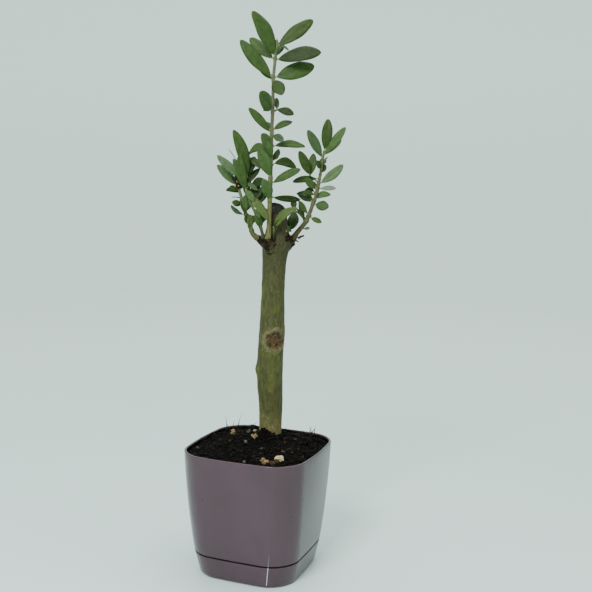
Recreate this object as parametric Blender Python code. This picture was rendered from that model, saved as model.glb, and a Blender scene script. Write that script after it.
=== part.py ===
# Potted olive sapling: a cut-back olive trunk with fresh shoots, in a square plastic pot on its own saucer.
# Metres, +Z up. The origin is on the underside of the saucer, below the middle of the pot, and the pot's
# sides lie along X and Y. The plant is set out in its own front view, x to the right, y away from the
# viewer and z up, and is then brought to its place in the pot by PLANT_SCALE, PLANT_SHIFT and PLANT_TURN.
import math
import random

import bmesh
import bpy
from mathutils import Matrix, Vector
from mathutils.bvhtree import BVHTree

MM = 0.001
GAP = 0.3  # mm between neighbouring solids
SEED = 12

# Pot and saucer, in mm: flat width, bow of each side and corner radius at each height
POT_HEIGHT = 115.1
SEAM_HEIGHT = 21.3
SEAM_GAP = 0.8
RIM_SECTION = (110.4, 4.8, 21.3)
SEAM_SECTION = (99.5, 1.8, 24.0)
BASE_SECTION = (90.7, 1.9, 22.6)
BELLY = 2.1  # how far the wall swells past a straight line, in width
WALL = 2.0
FLOOR = 2.2
EDGE_ROUND = 1.6
CORNER_STEPS = 5
SIDE_STEPS = 4

# Soil, in mm
SOIL_DROP = 5.5  # below the rim at the wall
SOIL_CROWN = 119.0  # height of the flat spot that the trunk stands on
SOIL_SPOT = 13.5  # radius of that spot

# Trunk, in mm of the front view
PLANT_SCALE = 0.989
PLANT_SHIFT = Vector((0.35, -8.7, 3.9))
PLANT_TURN = math.radians(21.2)
TRUNK_Y = 33.0
TRUNK_FOOT = (SOIL_CROWN + GAP - PLANT_SHIFT.z) / PLANT_SCALE
TRUNK_SIDES = 18
TRUNK_STATIONS = (  # height, middle, width
    (124, 9.2, 21.4),
    (148, 9.1, 22.9),
    (163, 8.3, 24.3),
    (181, 7.9, 25.6),
    (197, 8.6, 24.4),
    (212, 9.4, 24.8),
    (226, 9.8, 23.6),
    (245, 10.0, 22.4),
    (264, 10.7, 22.2),
    (279, 11.4, 22.4),
    (290, 12.2, 24.0),
    (300, 13.0, 25.4),
    (311, 12.9, 23.0),
)
STUB_TOP = (13.6, 20.4)  # middle and width of the stub at the saw cut
CUT_HEIGHT = 330.2
CUT_SLOPE_X = -0.22
CUT_SLOPE_Y = 0.61
KNOT_HEIGHT = 213.0
KNOT_SWELL = 1.1

# Collars that the shoots leave the trunk from: foot, tip, foot diameter, tip diameter
COLLARS = {
    "left": ((5, 31, 298), (-3.4, 30, 303.6), 11, 7.0),
    "right": ((19, 34, 296), (28.3, 33, 304.4), 14, 8.2),
    "leader": ((8, 25, 294), (5.3, 18.6, 304.6), 13, 6.6),
    "inner": ((5, 27, 298), (0.9, 21.4, 305.2), 9, 4.6),
}


def blade(up, reach, width, stalk=None, arch=0.0, roll=0.0):
    """One leaf: height on its stem, reach to the right, up and near the viewer, and its width."""
    return {"up": up, "reach": reach, "width": width, "stalk": stalk, "arch": arch, "roll": roll}


# Shoots: route in the front view, diameters at the foot and tip, the height where the bough ends, and the
# masses that grow on from it, each with the height its own stem ends at and its leaves
LEADER = {
    "collar": "leader",
    "route": (
        (5.8, 18.2, 308), (6.1, 18, 318), (6.2, 18, 330), (6.6, 18, 345), (7.0, 18.4, 363), (7.3, 19, 384),
        (7.6, 19.6, 405), (8.2, 20, 426), (8.3, 20.4, 447), (9.5, 20.6, 463), (10.2, 20.6, 474),
        (11.1, 20.4, 483),
    ),
    "diameters": (4.6, 2.0),
    "bough": ("bough_leader", 336),
    "masses": (
        ("mass_leader_low", 394, (
            blade(341, (-4, 18.5, 12), 8.4),
            blade(341, (-5, 12, -15), 7.5),
            blade(342.5, (25, -1.5, -9), 6.0, roll=45),
            blade(345.5, (-13, -9.5, -9), 8.2, arch=3),
            blade(354, (27.5, 14.5, 3), 8.4, arch=1),
            blade(357.5, (-21, -3.5, -7), 6.6, arch=3),
            blade(360, (-14, 25, 13), 11.2),
            blade(360.5, (-9, 19, -16), 9.0),
            blade(371.5, (23.5, -2.5, -6), 7.4, arch=3.5),
            blade(375.5, (8, 9.5, -10), 6.0, roll=70),
            blade(384.5, (-21.5, -2, -7), 6.6, arch=5),
            blade(385.5, (-9, 16.5, 17), 10.6),
            blade(387.5, (31, 1.5, -6), 7.0, arch=1.5),
            blade(389.5, (-5, 13, -17), 8.0),
        )),
        ("mass_leader_middle", 438, (
            blade(399.5, (-21, 23, 4), 7.4),
            blade(399.5, (11, -6.5, 10), 6.6),
            blade(402, (18.5, 10, -9), 7.4),
            blade(402.5, (-8, 9, -15), 6.5),
            blade(418.5, (16, -4.6, 3), 7.4, stalk=(3.8, 3.2, 0.5)),
            blade(418.5, (-0.6, 9.5, -8), 6.6, stalk=(4.4, 3.0, -2.5)),
            blade(420.5, (-9, 13.5, 26), 13.0),
            blade(421.5, (-8.5, 2, -16), 6.0),
        )),
        ("mass_leader_top", 483, (
            blade(446.5, (11.5, -12.5, 14), 12.0),
            blade(447, (-14, 15, -19), 9.0),
            blade(449, (-30, 33, 4), 12.6),
            blade(449.5, (37, 11.5, -4), 14.6),
            blade(465, (-23.5, 22, -14), 10.6),
            blade(465, (41.5, 7, 6), 15.0),
            blade(467, (-20.5, 39, 11), 14.6),
            blade(467.5, (6, 17, -20), 8.0),
            blade(479, (11, -1.5, -16), 6.5),
            blade(476.5, (33, 25.5, -5), 11.6, arch=-1.2),
        )),
    ),
}

LOW_SPROUT = {
    "collar": None,
    "route": ((10.4, 19.2, 304.8), (10.3, 18.3, 309), (10.2, 17.6, 314.5)),
    "diameters": (2.2, 1.6),
    "bough": None,
    "masses": (
        ("mass_low_sprout", 314.5, (
            blade(313, (22, 20.5, 5), 8.4, arch=4),
            blade(311, (9, 9, 9), 5.0),
        )),
    ),
}

INNER = {
    "collar": "inner",
    "route": (
        (0.4, 20.6, 307.5), (-1.4, 19.6, 314), (-4.8, 19, 321.5), (-7.2, 19, 329), (-10.2, 19.4, 335.5),
        (-13.6, 20.4, 343), (-16.2, 21.4, 351), (-17.8, 22, 362),
    ),
    "diameters": (3.2, 1.7),
    "bough": ("bough_inner", 312),
    "masses": (
        ("mass_inner", 362, (
            blade(314, (-3, 14, 5), 6.8),
            blade(315, (2.5, 13.5, -3), 5.5),
            blade(333, (7, -9, 6), 4.0),
            blade(345, (14, -12, 6), 6.6),
            blade(348, (10, -6, -7), 6.4, arch=3),
            blade(350, (8, -11, 6), 6.0),
            blade(352, (4.5, -13, -6), 6.4),
            blade(356.5, (12.5, -8, 4), 5.2),
            blade(357, (-15.5, 29, -12), 7.0, roll=75),
            blade(359, (10, 5, -7), 6.0),
            blade(359.5, (9.5, 20, -9), 9.6),
            blade(359.5, (-25.2, 20.5, 0), 7.8),
            blade(361, (-9.5, 42.5, 5), 11.6),
        )),
    ),
}

LEFT = {
    "collar": "left",
    "route": (
        (-6.0, 29.8, 305), (-9.6, 29.6, 308.4), (-11.4, 30, 313.7), (-14.6, 30.4, 322.2),
        (-16.8, 30.8, 328.6), (-19.0, 31, 336.8), (-21.2, 31, 344.8), (-23.4, 30.8, 353),
    ),
    "diameters": (5.0, 2.2),
    "bough": ("bough_left", 309.5),
    "masses": (
        ("mass_left", 353, (
            blade(311.5, (-1, 15, 7), 5.8),
            blade(315, (3, 10, -12), 6.0),
            blade(325.5, (-14.5, 9, -2), 5.4, arch=-2.5, roll=25),
            blade(326, (-1, 18, 6), 6.2),
            blade(327, (3, 14, -12), 6.0),
            blade(338.5, (-8.5, -3, 4), 5.2),
            blade(340, (5, -2, -12), 5.2),
            blade(344.5, (-14, 4, -3), 5.2, arch=3),
            blade(346.5, (-6, 31, -9), 6.6),
            blade(351.5, (-19.5, 20, 4), 8.4),
            blade(351.5, (6, 9, -15), 6.5),
        )),
    ),
}

RIGHT = {
    "collar": "right",
    "route": (
        (31.6, 32.8, 309.4), (35.8, 32.5, 314.6), (41.2, 32.2, 322.2), (46.0, 32, 335.9), (48.2, 32, 341.3),
        (50.0, 32, 348.5), (51.6, 32, 357.5), (53.2, 31.8, 368), (54.4, 31.4, 378), (56.0, 31, 386),
    ),
    "diameters": (5.8, 2.2),
    "bough": ("bough_right", 318),
    "masses": (
        ("mass_right_low", 353, (
            blade(321.5, (-3, -15, 3), 9.2, stalk=(-8.6, 7.5, 2.5)),
            blade(320.5, (-1, 9.5, -3), 5.6, stalk=(-11, 11, -2.5)),
            blade(325, (11, -5, 3), 4.6),
            blade(326, (-9.5, 13.5, 5), 5.2),
            blade(336.5, (13.5, -2, 5), 9.2),
            blade(337, (-5, 6, -13), 5.6),
            blade(339.5, (15, 6, -3), 5.0, arch=4),
            blade(340, (-17, 6, -5), 5.4, arch=2.5),
            blade(346, (-12, 2, -6), 4.8, arch=2.5),
            blade(348, (-4.5, 10, -11), 5.4),
            blade(350.5, (16.5, 0.5, -6), 4.6, roll=35),
        )),
        ("mass_right_top", 386, (
            blade(356, (-9.5, 21.5, 5), 7.4, stalk=(-7.5, 6, 2)),
            blade(356.5, (1.1, 21.5, -4), 7.4, stalk=(-6, 5.5, -1)),
            blade(356, (22.5, 17, -4), 8.2, arch=-1.5),
            blade(360, (-25, -3, -8), 6.0, arch=1.5),
            blade(368.5, (-4, 8, 10), 5.2),
            blade(370, (4.5, -6, 6), 4.6),
            blade(371.5, (2, 8, -14), 6.2),
            blade(380.5, (-14, 24, 4), 8.0),
            blade(381, (17, 16, -9), 6.4),
            blade(381.5, (20, 26, 3), 8.0),
            blade(385, (3.2, 30, 0), 9.2),
        )),
    ),
}

SHOOTS = (LEADER, LOW_SPROUT, INNER, LEFT, RIGHT)
LIMB_SIDES = 8
TWIG_SIDES = 6
STALK_SIDES = 4
LEAF_HALF_THICK = 0.3
PETIOLE_HALF = 0.55
LEAF_FOLD = 0.16
LEAF_BOW = 0.05  # share of its length that a leaf curls back towards its tip
LEAF_CLEAR = 0.35  # mm that a leaf keeps from any other limb or mass
STALK_DIAMETER = 1.2

COLOURS = {
    "pot": ((0.18, 0.135, 0.155), 0.25),
    "soil": ((0.012, 0.010, 0.008), 0.95),
    "bark": ((0.105, 0.115, 0.045), 0.75),
    "shoot": ((0.20, 0.16, 0.09), 0.7),
    "leaves": ((0.065, 0.14, 0.035), 0.5),
}


def clear_scene():
    for item in list(bpy.data.objects):
        bpy.data.objects.remove(item, do_unlink=True)


def material(name, colour, roughness):
    made = bpy.data.materials.new(name)
    made.use_nodes = True
    shader = made.node_tree.nodes["Principled BSDF"]
    shader.inputs["Base Color"].default_value = (*colour, 1)
    shader.inputs["Roughness"].default_value = roughness
    return made


def skin(rings):
    """A closed mesh over rings of equally many points, capped at both ends."""
    form = bmesh.new()
    loops = [[form.verts.new(point) for point in ring] for ring in rings]
    count = len(loops[0])
    for low, high in zip(loops, loops[1:]):
        for i in range(count):
            j = (i + 1) % count
            form.faces.new((low[i], low[j], high[j], high[i]))
    form.faces.new(loops[0])
    form.faces.new(loops[-1])
    bmesh.ops.recalc_face_normals(form, faces=form.faces)
    return form


def plant_place():
    """The matrix that brings the plant, in mm of its front view, to its place in the pot."""
    turn = Matrix.Rotation(PLANT_TURN, 4, "Z")
    return turn @ Matrix.Translation(PLANT_SHIFT) @ Matrix.Scale(PLANT_SCALE, 4)


def finish(name, form, finish_name, of_plant=False):
    """The form, in mm, as a named object in metres with its own material."""
    if of_plant:
        bmesh.ops.transform(form, matrix=plant_place(), verts=form.verts)
    bmesh.ops.scale(form, vec=(MM, MM, MM), verts=form.verts)
    mesh = bpy.data.meshes.new(name)
    form.to_mesh(mesh)
    form.free()
    colour, roughness = COLOURS[finish_name]
    mesh.materials.append(material(name, colour, roughness))
    item = bpy.data.objects.new(name, mesh)
    bpy.context.scene.collection.objects.link(item)
    return item


def fuse(item, parts):
    """Joins the parts, a list of objects, to the item by one union and removes them."""
    group = bpy.data.collections.new(item.name + "_parts")
    bpy.context.scene.collection.children.link(group)
    for part in parts:
        bpy.context.scene.collection.objects.unlink(part)
        group.objects.link(part)
    union = item.modifiers.new("union", "BOOLEAN")
    union.operation = "UNION"
    union.operand_type = "COLLECTION"
    union.collection = group
    union.solver = "EXACT"
    seen = item.evaluated_get(bpy.context.evaluated_depsgraph_get())
    mesh = bpy.data.meshes.new_from_object(seen)
    item.modifiers.clear()
    finish_of = item.data.materials[0]
    item.data = mesh
    mesh.materials.clear()
    mesh.materials.append(finish_of)
    for part in parts:
        bpy.data.objects.remove(part, do_unlink=True)
    bpy.data.collections.remove(group)
    form = bmesh.new()
    form.from_mesh(mesh)
    bmesh.ops.remove_doubles(form, verts=form.verts, dist=0.000002)
    bmesh.ops.dissolve_degenerate(form, edges=form.edges, dist=0.000002)
    form.to_mesh(mesh)
    form.free()
    return item


def bowed_square(section, height, inset=0.0):
    """A ring round a square with round corners and bowed sides, the inset in from it all the way."""
    flat, bow, corner = section
    half = flat / 2 - inset
    radius = max(corner - inset, 2.0)
    ring = []
    for quarter in range(4):
        turn = Matrix.Rotation(quarter * math.pi / 2, 2)
        corner_middle = half - radius
        quarter_points = []
        for k in range(CORNER_STEPS + 1):
            angle = math.pi / 2 * k / CORNER_STEPS
            x = corner_middle + radius * math.cos(angle)
            y = corner_middle + radius * math.sin(angle)
            quarter_points.append((x, y))
        for k in range(1, SIDE_STEPS):
            quarter_points.append((corner_middle - 2 * corner_middle * k / SIDE_STEPS, half))
        for x, y in quarter_points:
            out_x = x * (1 + bow / half * (1 - (y / half) ** 2))
            out_y = y * (1 + bow / half * (1 - (x / half) ** 2))
            turned = turn @ Vector((out_x, out_y))
            ring.append(Vector((turned.x, turned.y, height)))
    return ring


def wall_section(height):
    """The outer section of pot and saucer at a height, swelling a little between seam and rim."""
    if height <= SEAM_HEIGHT:
        share = height / SEAM_HEIGHT
        low, high, swell = BASE_SECTION, SEAM_SECTION, 0.0
    else:
        share = (height - SEAM_HEIGHT) / (POT_HEIGHT - SEAM_HEIGHT)
        low, high = SEAM_SECTION, RIM_SECTION
        swell = BELLY * 4 * share * (1 - share)
    flat, bow, corner = (a + (b - a) * share for a, b in zip(low, high))
    return flat + swell, bow, corner


def outer_ring(height, inset=0.0):
    return bowed_square(wall_section(height), height, inset)


def make_saucer():
    top = SEAM_HEIGHT - SEAM_GAP / 2
    rings = [outer_ring(0, EDGE_ROUND)]
    rings.append(outer_ring(EDGE_ROUND * 0.3, EDGE_ROUND * 0.3))
    for height in (EDGE_ROUND, top / 2, top):
        rings.append(outer_ring(height))
    rings.append(outer_ring(top, WALL))
    rings.append(outer_ring(FLOOR, WALL))
    return finish("saucer", skin(rings), "pot")


def make_pot():
    """Foot inside the saucer, a step out over the saucer's edge, and the wall up to the rim."""
    foot = FLOOR + GAP
    step = SEAM_HEIGHT + SEAM_GAP / 2
    tuck = WALL + SEAM_GAP
    rings = [outer_ring(foot, tuck + EDGE_ROUND / 2)]
    rings.append(outer_ring(foot + EDGE_ROUND, tuck))
    rings.append(outer_ring(step, tuck))
    rings.append(outer_ring(step))
    for share in (0.25, 0.5, 0.75):
        rings.append(outer_ring(step + (POT_HEIGHT - step) * share))
    rings.append(outer_ring(POT_HEIGHT - 0.5))
    rings.append(outer_ring(POT_HEIGHT, 0.5))
    rings.append(outer_ring(POT_HEIGHT, WALL))
    for share in (0.6, 0.2):
        rings.append(outer_ring(step + (POT_HEIGHT - step) * share, WALL))
    rings.append(outer_ring(step + tuck, tuck + WALL))
    rings.append(outer_ring(foot + FLOOR, tuck + WALL))
    return finish("pot", skin(rings), "pot")


def make_soil():
    """Fills the pot and rises in a low mound to the flat spot under the trunk."""
    foot = FLOOR + GAP + FLOOR + GAP
    step = SEAM_HEIGHT + SEAM_GAP / 2
    tuck = WALL + SEAM_GAP
    low_inset = tuck + WALL + GAP
    edge = POT_HEIGHT - SOIL_DROP
    rings = [outer_ring(foot, low_inset), outer_ring(step + tuck, low_inset)]
    for share in (0.2, 0.6):
        rings.append(outer_ring(step + (POT_HEIGHT - step) * share, WALL + 2 * GAP))
    rim = outer_ring(edge, WALL + 2 * GAP)
    rings.append(rim)
    middle = plant_place() @ Vector((TRUNK_STATIONS[0][1], TRUNK_Y, 0))
    for share in (0.3, 0.62, 0.85, 1.0):
        ring = []
        for point in rim:
            away = Vector((point.x - middle.x, point.y - middle.y))
            spot = Vector((middle.x, middle.y)) + away.normalized() * SOIL_SPOT
            flat = Vector((point.x, point.y)).lerp(spot, share)
            height = edge + (SOIL_CROWN - edge) * share ** 1.3
            ripple = 0.7 * math.sin(flat.x * 0.21) * math.cos(flat.y * 0.17) if share < 0.9 else 0.0
            ring.append(Vector((flat.x, flat.y, height + ripple)))
        rings.append(ring)
    return finish("soil", skin(rings), "soil")


def trunk_ring(height, middle, width):
    ring = []
    for k in range(TRUNK_SIDES):
        angle = 2 * math.pi * k / TRUNK_SIDES
        reach = width / 2
        front = math.cos(angle + math.pi / 2 + 0.1)
        if front > 0 and abs(height - KNOT_HEIGHT) < 8:
            reach += KNOT_SWELL * front ** 4
        ring.append(Vector((middle + reach * math.cos(angle), TRUNK_Y + reach * math.sin(angle), height)))
    return ring


def cut_height(x, y):
    """Height of the slanted saw cut above a point of the front view."""
    return CUT_HEIGHT + CUT_SLOPE_X * (x - STUB_TOP[0]) + CUT_SLOPE_Y * (y - TRUNK_Y)


def make_trunk():
    first_height, first_middle, first_width = TRUNK_STATIONS[0]
    rings = [trunk_ring(TRUNK_FOOT, first_middle, first_width + 0.2)]
    for height, middle, width in TRUNK_STATIONS:
        rings.append(trunk_ring(height, middle, width))
    top = trunk_ring(CUT_HEIGHT, *STUB_TOP)
    for point in top:
        point.z = cut_height(point.x, point.y)
    rings.append(top)
    trunk = finish("trunk", skin(rings), "bark", of_plant=True)
    collars = []
    for name, (foot, tip, foot_width, tip_width) in COLLARS.items():
        form = limb([Vector(foot), Vector(tip)], foot_width, tip_width, TRUNK_SIDES // 2)
        collars.append(finish("collar_" + name, form, "bark", of_plant=True))
    return fuse(trunk, collars)


def smooth_route(points, step=6.0):
    """A smooth curve through the points, read off about every step."""
    route = [Vector(p) for p in points]
    padded = [2 * route[0] - route[1], *route, 2 * route[-1] - route[-2]]
    fine = []
    for before, start, end, after in zip(padded, padded[1:], padded[2:], padded[3:]):
        count = max(1, round((end - start).length / step))
        for k in range(count):
            t = k / count
            fine.append(0.5 * (
                2 * start + (end - before) * t + (2 * before - 5 * start + 4 * end - after) * t * t
                + (3 * start - before - 3 * end + after) * t ** 3
            ))
    fine.append(route[-1])
    return fine


def limb(line, foot_width, tip_width, sides):
    """A tapering limb of that many sides along a line of points."""
    lengths = [0.0]
    for a, b in zip(line, line[1:]):
        lengths.append(lengths[-1] + (b - a).length)
    rings = []
    side = Vector((1, 0, 0))
    for k, point in enumerate(line):
        ahead = line[min(k + 1, len(line) - 1)] - line[max(k - 1, 0)]
        along = ahead.normalized()
        side = (side - along * side.dot(along)).normalized()
        other = along.cross(side)
        radius = (foot_width + (tip_width - foot_width) * lengths[k] / lengths[-1]) / 2
        turns = [2 * math.pi * i / sides for i in range(sides)]
        rings.append([point + radius * (side * math.cos(a) + other * math.sin(a)) for a in turns])
    return skin(rings)


def leaf_outline(t):
    """Half width of a leaf blade as a share of its greatest, from stalk to tip: broadest at the middle."""
    return math.sin(math.pi * min(t, 1.0) ** 0.95) ** 0.85


def leaf(base, reach, width, arch, roll, twist, margin=0.0):
    """A thin folded blade from a four-sided sphere, drawn out from base to tip and arched over."""
    form = bmesh.new()
    bmesh.ops.create_uvsphere(form, u_segments=4, v_segments=6, radius=1)
    along = reach.normalized()
    facing = Vector((0, -1, 0.45))
    face = (facing - along * facing.dot(along)).normalized()
    face = Matrix.Rotation(math.radians(roll) + twist, 3, along) @ face
    across = along.cross(face)
    rise = Vector((0, 0, 1))
    rise = (rise - along * rise.dot(along)).normalized()
    for vert in form.verts:
        t = (vert.co.z + 1) / 2
        middle = base + reach * t + (rise * arch + face * LEAF_BOW * reach.length) * 4 * t * (1 - t)
        if abs(vert.co.z) > 0.999:
            vert.co = middle
            continue
        near_stalk = t < 0.1
        half = PETIOLE_HALF if near_stalk else width / 2 * leaf_outline(t)
        thick = PETIOLE_HALF if near_stalk else LEAF_HALF_THICK
        if abs(vert.co.x) > abs(vert.co.y):
            fold = 0 if near_stalk else LEAF_FOLD * half
            vert.co = middle + across * math.copysign(half + margin, vert.co.x) + face * fold
        else:
            vert.co = middle + face * math.copysign(thick + margin, vert.co.y)
    bmesh.ops.recalc_face_normals(form, faces=form.faces)
    return form


def point_at(line, height):
    """The point of a line at a height."""
    for a, b in zip(line, line[1:]):
        if a.z <= height <= b.z:
            return a.lerp(b, (height - a.z) / (b.z - a.z))
    return line[-1].copy() if height > line[-1].z else line[0].copy()


def stretch(line, low, high):
    """The part of a line between two heights."""
    inside = [p.copy() for p in line if low + 0.6 < p.z < high - 0.6]
    return [point_at(line, low), *inside, point_at(line, high)]


def tree_of(item):
    form = bmesh.new()
    form.from_mesh(item.data)
    tree = BVHTree.FromBMesh(form)
    form.free()
    return tree


def tree_of_form(form):
    """The form, in mm of the front view, as a search tree in metres where the finished leaf would be."""
    copy = form.copy()
    bmesh.ops.transform(copy, matrix=Matrix.Scale(MM, 4) @ plant_place(), verts=copy.verts)
    tree = BVHTree.FromBMesh(copy)
    copy.free()
    return tree


def make_mass(stem, line, leaves, others, rng):
    """The stem with its leaves fused on; a leaf that would touch another limb or mass is skipped."""
    name = stem.name
    parts = []
    for number, spec in enumerate(leaves):
        base = point_at(line, spec["up"])
        side, rise, near = spec["reach"]
        reach = Vector((side, -near, rise))
        twist = rng.uniform(-0.22, 0.22)
        if spec["stalk"]:
            across, up, forward = spec["stalk"]
            end = base + Vector((across, -forward, up))
            form = limb([base, end], STALK_DIAMETER, STALK_DIAMETER, STALK_SIDES)
            parts.append(finish(f"{name}_stalk_{number}", form, "leaves", of_plant=True))
            base = end - reach.normalized() * STALK_DIAMETER / 2
        tree = tree_of_form(leaf(base, reach, spec["width"], spec["arch"], spec["roll"], twist, LEAF_CLEAR))
        if any(tree.overlap(other) for other in others):
            print("skipped", name, spec["up"], spec["reach"])
            continue
        form = leaf(base, reach, spec["width"], spec["arch"], spec["roll"], twist)
        parts.append(finish(f"{name}_leaf_{number}", form, "leaves", of_plant=True))
    return fuse(stem, parts)


def make_shoots(trunk):
    """Boughs and stems first, so that no leaf of any mass runs into one, and then the leaves."""
    rng = random.Random(SEED)
    fixed = [tree_of(trunk)]
    plans = []
    for shoot in SHOOTS:
        foot, tip = shoot["diameters"]
        line = smooth_route(shoot["route"])
        if shoot["collar"]:
            start, end = (Vector(p) for p in COLLARS[shoot["collar"]][:2])
            outward = (end - start).normalized()
            line = [end + outward * GAP, end + outward * (GAP + 1), *line]
        bottom, top = line[0].z, line[-1].z
        ends = list(shoot["masses"])
        if shoot["bough"]:
            ends.insert(0, (*shoot["bough"], None))
        low = bottom
        for name, high, leaves in ends:
            widths = [foot + (tip - foot) * (height - bottom) / (top - bottom) for height in (low, high)]
            is_mass = leaves is not None
            form = limb(stretch(line, low, high), *widths, TWIG_SIDES if is_mass else LIMB_SIDES)
            stem = finish(name, form, "leaves" if is_mass else "shoot", of_plant=True)
            if is_mass:
                plans.append((stem, line, leaves))
            else:
                fixed.append(tree_of(stem))
            low = high + GAP
    stems = {stem.name: tree_of(stem) for stem, line, leaves in plans}
    for stem, line, leaves in plans:
        others = fixed + [tree for name, tree in stems.items() if name != stem.name]
        make_mass(stem, line, leaves, others, rng)
        stems[stem.name] = tree_of(stem)


clear_scene()
make_saucer()
make_pot()
make_soil()
make_shoots(make_trunk())
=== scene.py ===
# Potted olive sapling: the looks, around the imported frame.
# Forms are drawn in mm and brought to metres as each piece is finished. The plant is drawn in its own front
# view, x to the right, y away from the viewer and z up. It is then turned and moved into the pot, as the
# frame's own plant is.
import math
import random

import bmesh
import bpy
from mathutils import Matrix, Vector, noise
from mathutils.bvhtree import BVHTree


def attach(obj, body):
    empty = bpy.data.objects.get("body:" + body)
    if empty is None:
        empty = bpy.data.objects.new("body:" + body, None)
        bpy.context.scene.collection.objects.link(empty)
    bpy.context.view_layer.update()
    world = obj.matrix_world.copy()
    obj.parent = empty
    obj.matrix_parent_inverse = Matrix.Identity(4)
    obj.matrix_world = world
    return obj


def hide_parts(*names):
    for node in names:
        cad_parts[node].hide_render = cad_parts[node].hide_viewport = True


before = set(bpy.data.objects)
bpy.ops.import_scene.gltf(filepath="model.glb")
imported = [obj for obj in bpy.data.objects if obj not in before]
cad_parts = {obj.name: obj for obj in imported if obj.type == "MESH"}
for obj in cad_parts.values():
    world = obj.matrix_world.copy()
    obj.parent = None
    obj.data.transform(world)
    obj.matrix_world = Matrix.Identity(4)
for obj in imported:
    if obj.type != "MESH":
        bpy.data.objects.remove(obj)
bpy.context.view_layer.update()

mm = 0.001
plantScale = 0.989  # from the plant's drawing to its size in the pot
plantRise = 3.9  # mm
plantShift = Vector((0.35, -8.7, plantRise))  # mm, in the front view
plantTurn = math.radians(21.2)  # from the front view to the pot's own sides
plantFrame = Matrix.Rotation(plantTurn, 4, "Z")


def linear(hexColour):  # a hex colour as seen on screen, to the linear one that shaders take
    parts = [int(hexColour[i:i + 2], 16) / 255 for i in (1, 3, 5)]
    return (*(c / 12.92 if c <= 0.04045 else ((c + 0.055) / 1.055) ** 2.4 for c in parts), 1.0)


def blended(first, second, share):  # a hex colour part of the way from one to another
    parts = [
        round(int(first[i:i + 2], 16) * (1 - share) + int(second[i:i + 2], 16) * share) for i in (1, 3, 5)
    ]
    return "#" + "".join(f"{part:02x}" for part in parts)


def addNode(tree, kind, settings):
    # settings: inputs by name or number, or properties, each a value or, for an input, a socket to link
    node = tree.nodes.new(kind)
    for key, value in settings.items():
        if isinstance(value, bpy.types.NodeSocket):
            tree.links.new(value, node.inputs[key])
        elif isinstance(key, int) or key in node.inputs:
            node.inputs[key].default_value = value
        else:
            setattr(node, key, value)
    return node


def newMaterial(name, **settings):  # a material with its Principled shader's own sockets set
    made = bpy.data.materials.new(name)
    made.use_nodes = True
    for key, value in settings.items():
        made.node_tree.nodes["Principled BSDF"].inputs[key].default_value = value
    return made, made.node_tree


def objectPattern(tree, wavelength, turn=0.0):
    # Object coordinates, turned about z, with one pattern unit to so many mm along x, y and z
    place = addNode(tree, "ShaderNodeTexCoord", {}).outputs["Object"]
    scale = tuple(1 / (mm * size) for size in wavelength)
    return addNode(tree, "ShaderNodeMapping", {
        "Vector": place, "Rotation": (0, 0, turn), "Scale": scale,
    }).outputs["Vector"]


# These add one node each and give its result
def addNoise(tree, wavelength, detail, roughness=0.5):
    return addNode(tree, "ShaderNodeTexNoise", {
        "Vector": objectPattern(tree, wavelength), "Scale": 1.0, "Detail": detail, "Roughness": roughness,
    }).outputs["Fac"]


def addMath(tree, operation, *values):
    settings = {"operation": operation, **dict(enumerate(values))}
    return addNode(tree, "ShaderNodeMath", settings).outputs["Value"]


def addRange(tree, value, start, end, atStart=0.0, atEnd=1.0):
    return addNode(tree, "ShaderNodeMapRange", {
        "Value": value, "From Min": start, "From Max": end, "To Min": atStart, "To Max": atEnd,
    }).outputs["Result"]


def addRamp(tree, value, *stops):  # stops of place and hex colour
    node = addNode(tree, "ShaderNodeValToRGB", {"Fac": value})
    elements = node.color_ramp.elements
    while len(elements) < len(stops):
        elements.new(0.5)
    for element, (place, colour) in zip(elements, stops):
        element.position = place
        element.color = linear(colour)
    return node.outputs["Color"]


def addMix(tree, share, under, over, blend="MIX"):
    return addNode(tree, "ShaderNodeMix", {
        "data_type": "RGBA", "blend_type": blend, 0: share, 6: under, 7: over,
    }).outputs[2]


def dressed(made, inputs, *reliefs):
    # the material with its inputs linked, and with relief: heights, each with its strength and depth in mm
    tree = made.node_tree
    inputs = dict(inputs)
    for height, strength, depth in reliefs:
        settings = {"Height": height, "Strength": strength, "Distance": depth * mm}
        if "Normal" in inputs:
            settings["Normal"] = inputs["Normal"]
        inputs["Normal"] = addNode(tree, "ShaderNodeBump", settings).outputs["Normal"]
    for key, source in inputs.items():
        tree.links.new(source, tree.nodes["Principled BSDF"].inputs[key])
    return made


def formObject(name, form, materials=()):  # an object of a form, which is freed
    mesh = bpy.data.meshes.new(name)
    form.to_mesh(mesh)
    form.free()
    mesh.shade_smooth()
    for material in materials:
        mesh.materials.append(material)
    item = bpy.data.objects.new(name, mesh)
    bpy.context.scene.collection.objects.link(item)
    return item


def finishPiece(name, form, materials, nodes=(), ofPlant=False, sharp=180):
    # a form in mm becomes a piece in metres, which takes the place of the nodes it is given
    if ofPlant:
        place = plantFrame @ Matrix.Translation(plantShift) @ Matrix.Scale(plantScale, 4)
        bmesh.ops.transform(form, matrix=place, verts=form.verts)
    bmesh.ops.scale(form, vec=(mm, mm, mm), verts=form.verts)
    piece = formObject(name, form, materials)
    if sharp < 180:
        piece.data.set_sharp_from_angle(angle=math.radians(sharp))
    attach(piece, "root")
    if nodes:
        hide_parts(*nodes)


def addForm(whole, part, material=None):  # puts a part's mesh into a larger one and frees the part
    if material is not None:
        for face in part.faces:
            face.material_index = material
    carrier = bpy.data.meshes.new("carrier")
    part.to_mesh(carrier)
    part.free()
    whole.from_mesh(carrier)
    bpy.data.meshes.remove(carrier)


def extruded(form, ring):  # grows a ring of edges into a new one, and gives its vertices and edges
    grown = bmesh.ops.extrude_edge_only(form, edges=ring)["geom"]
    verts = [part for part in grown if isinstance(part, bmesh.types.BMVert)]
    edges = [part for part in grown if isinstance(part, bmesh.types.BMEdge) and part.is_boundary]
    return verts, edges


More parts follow.
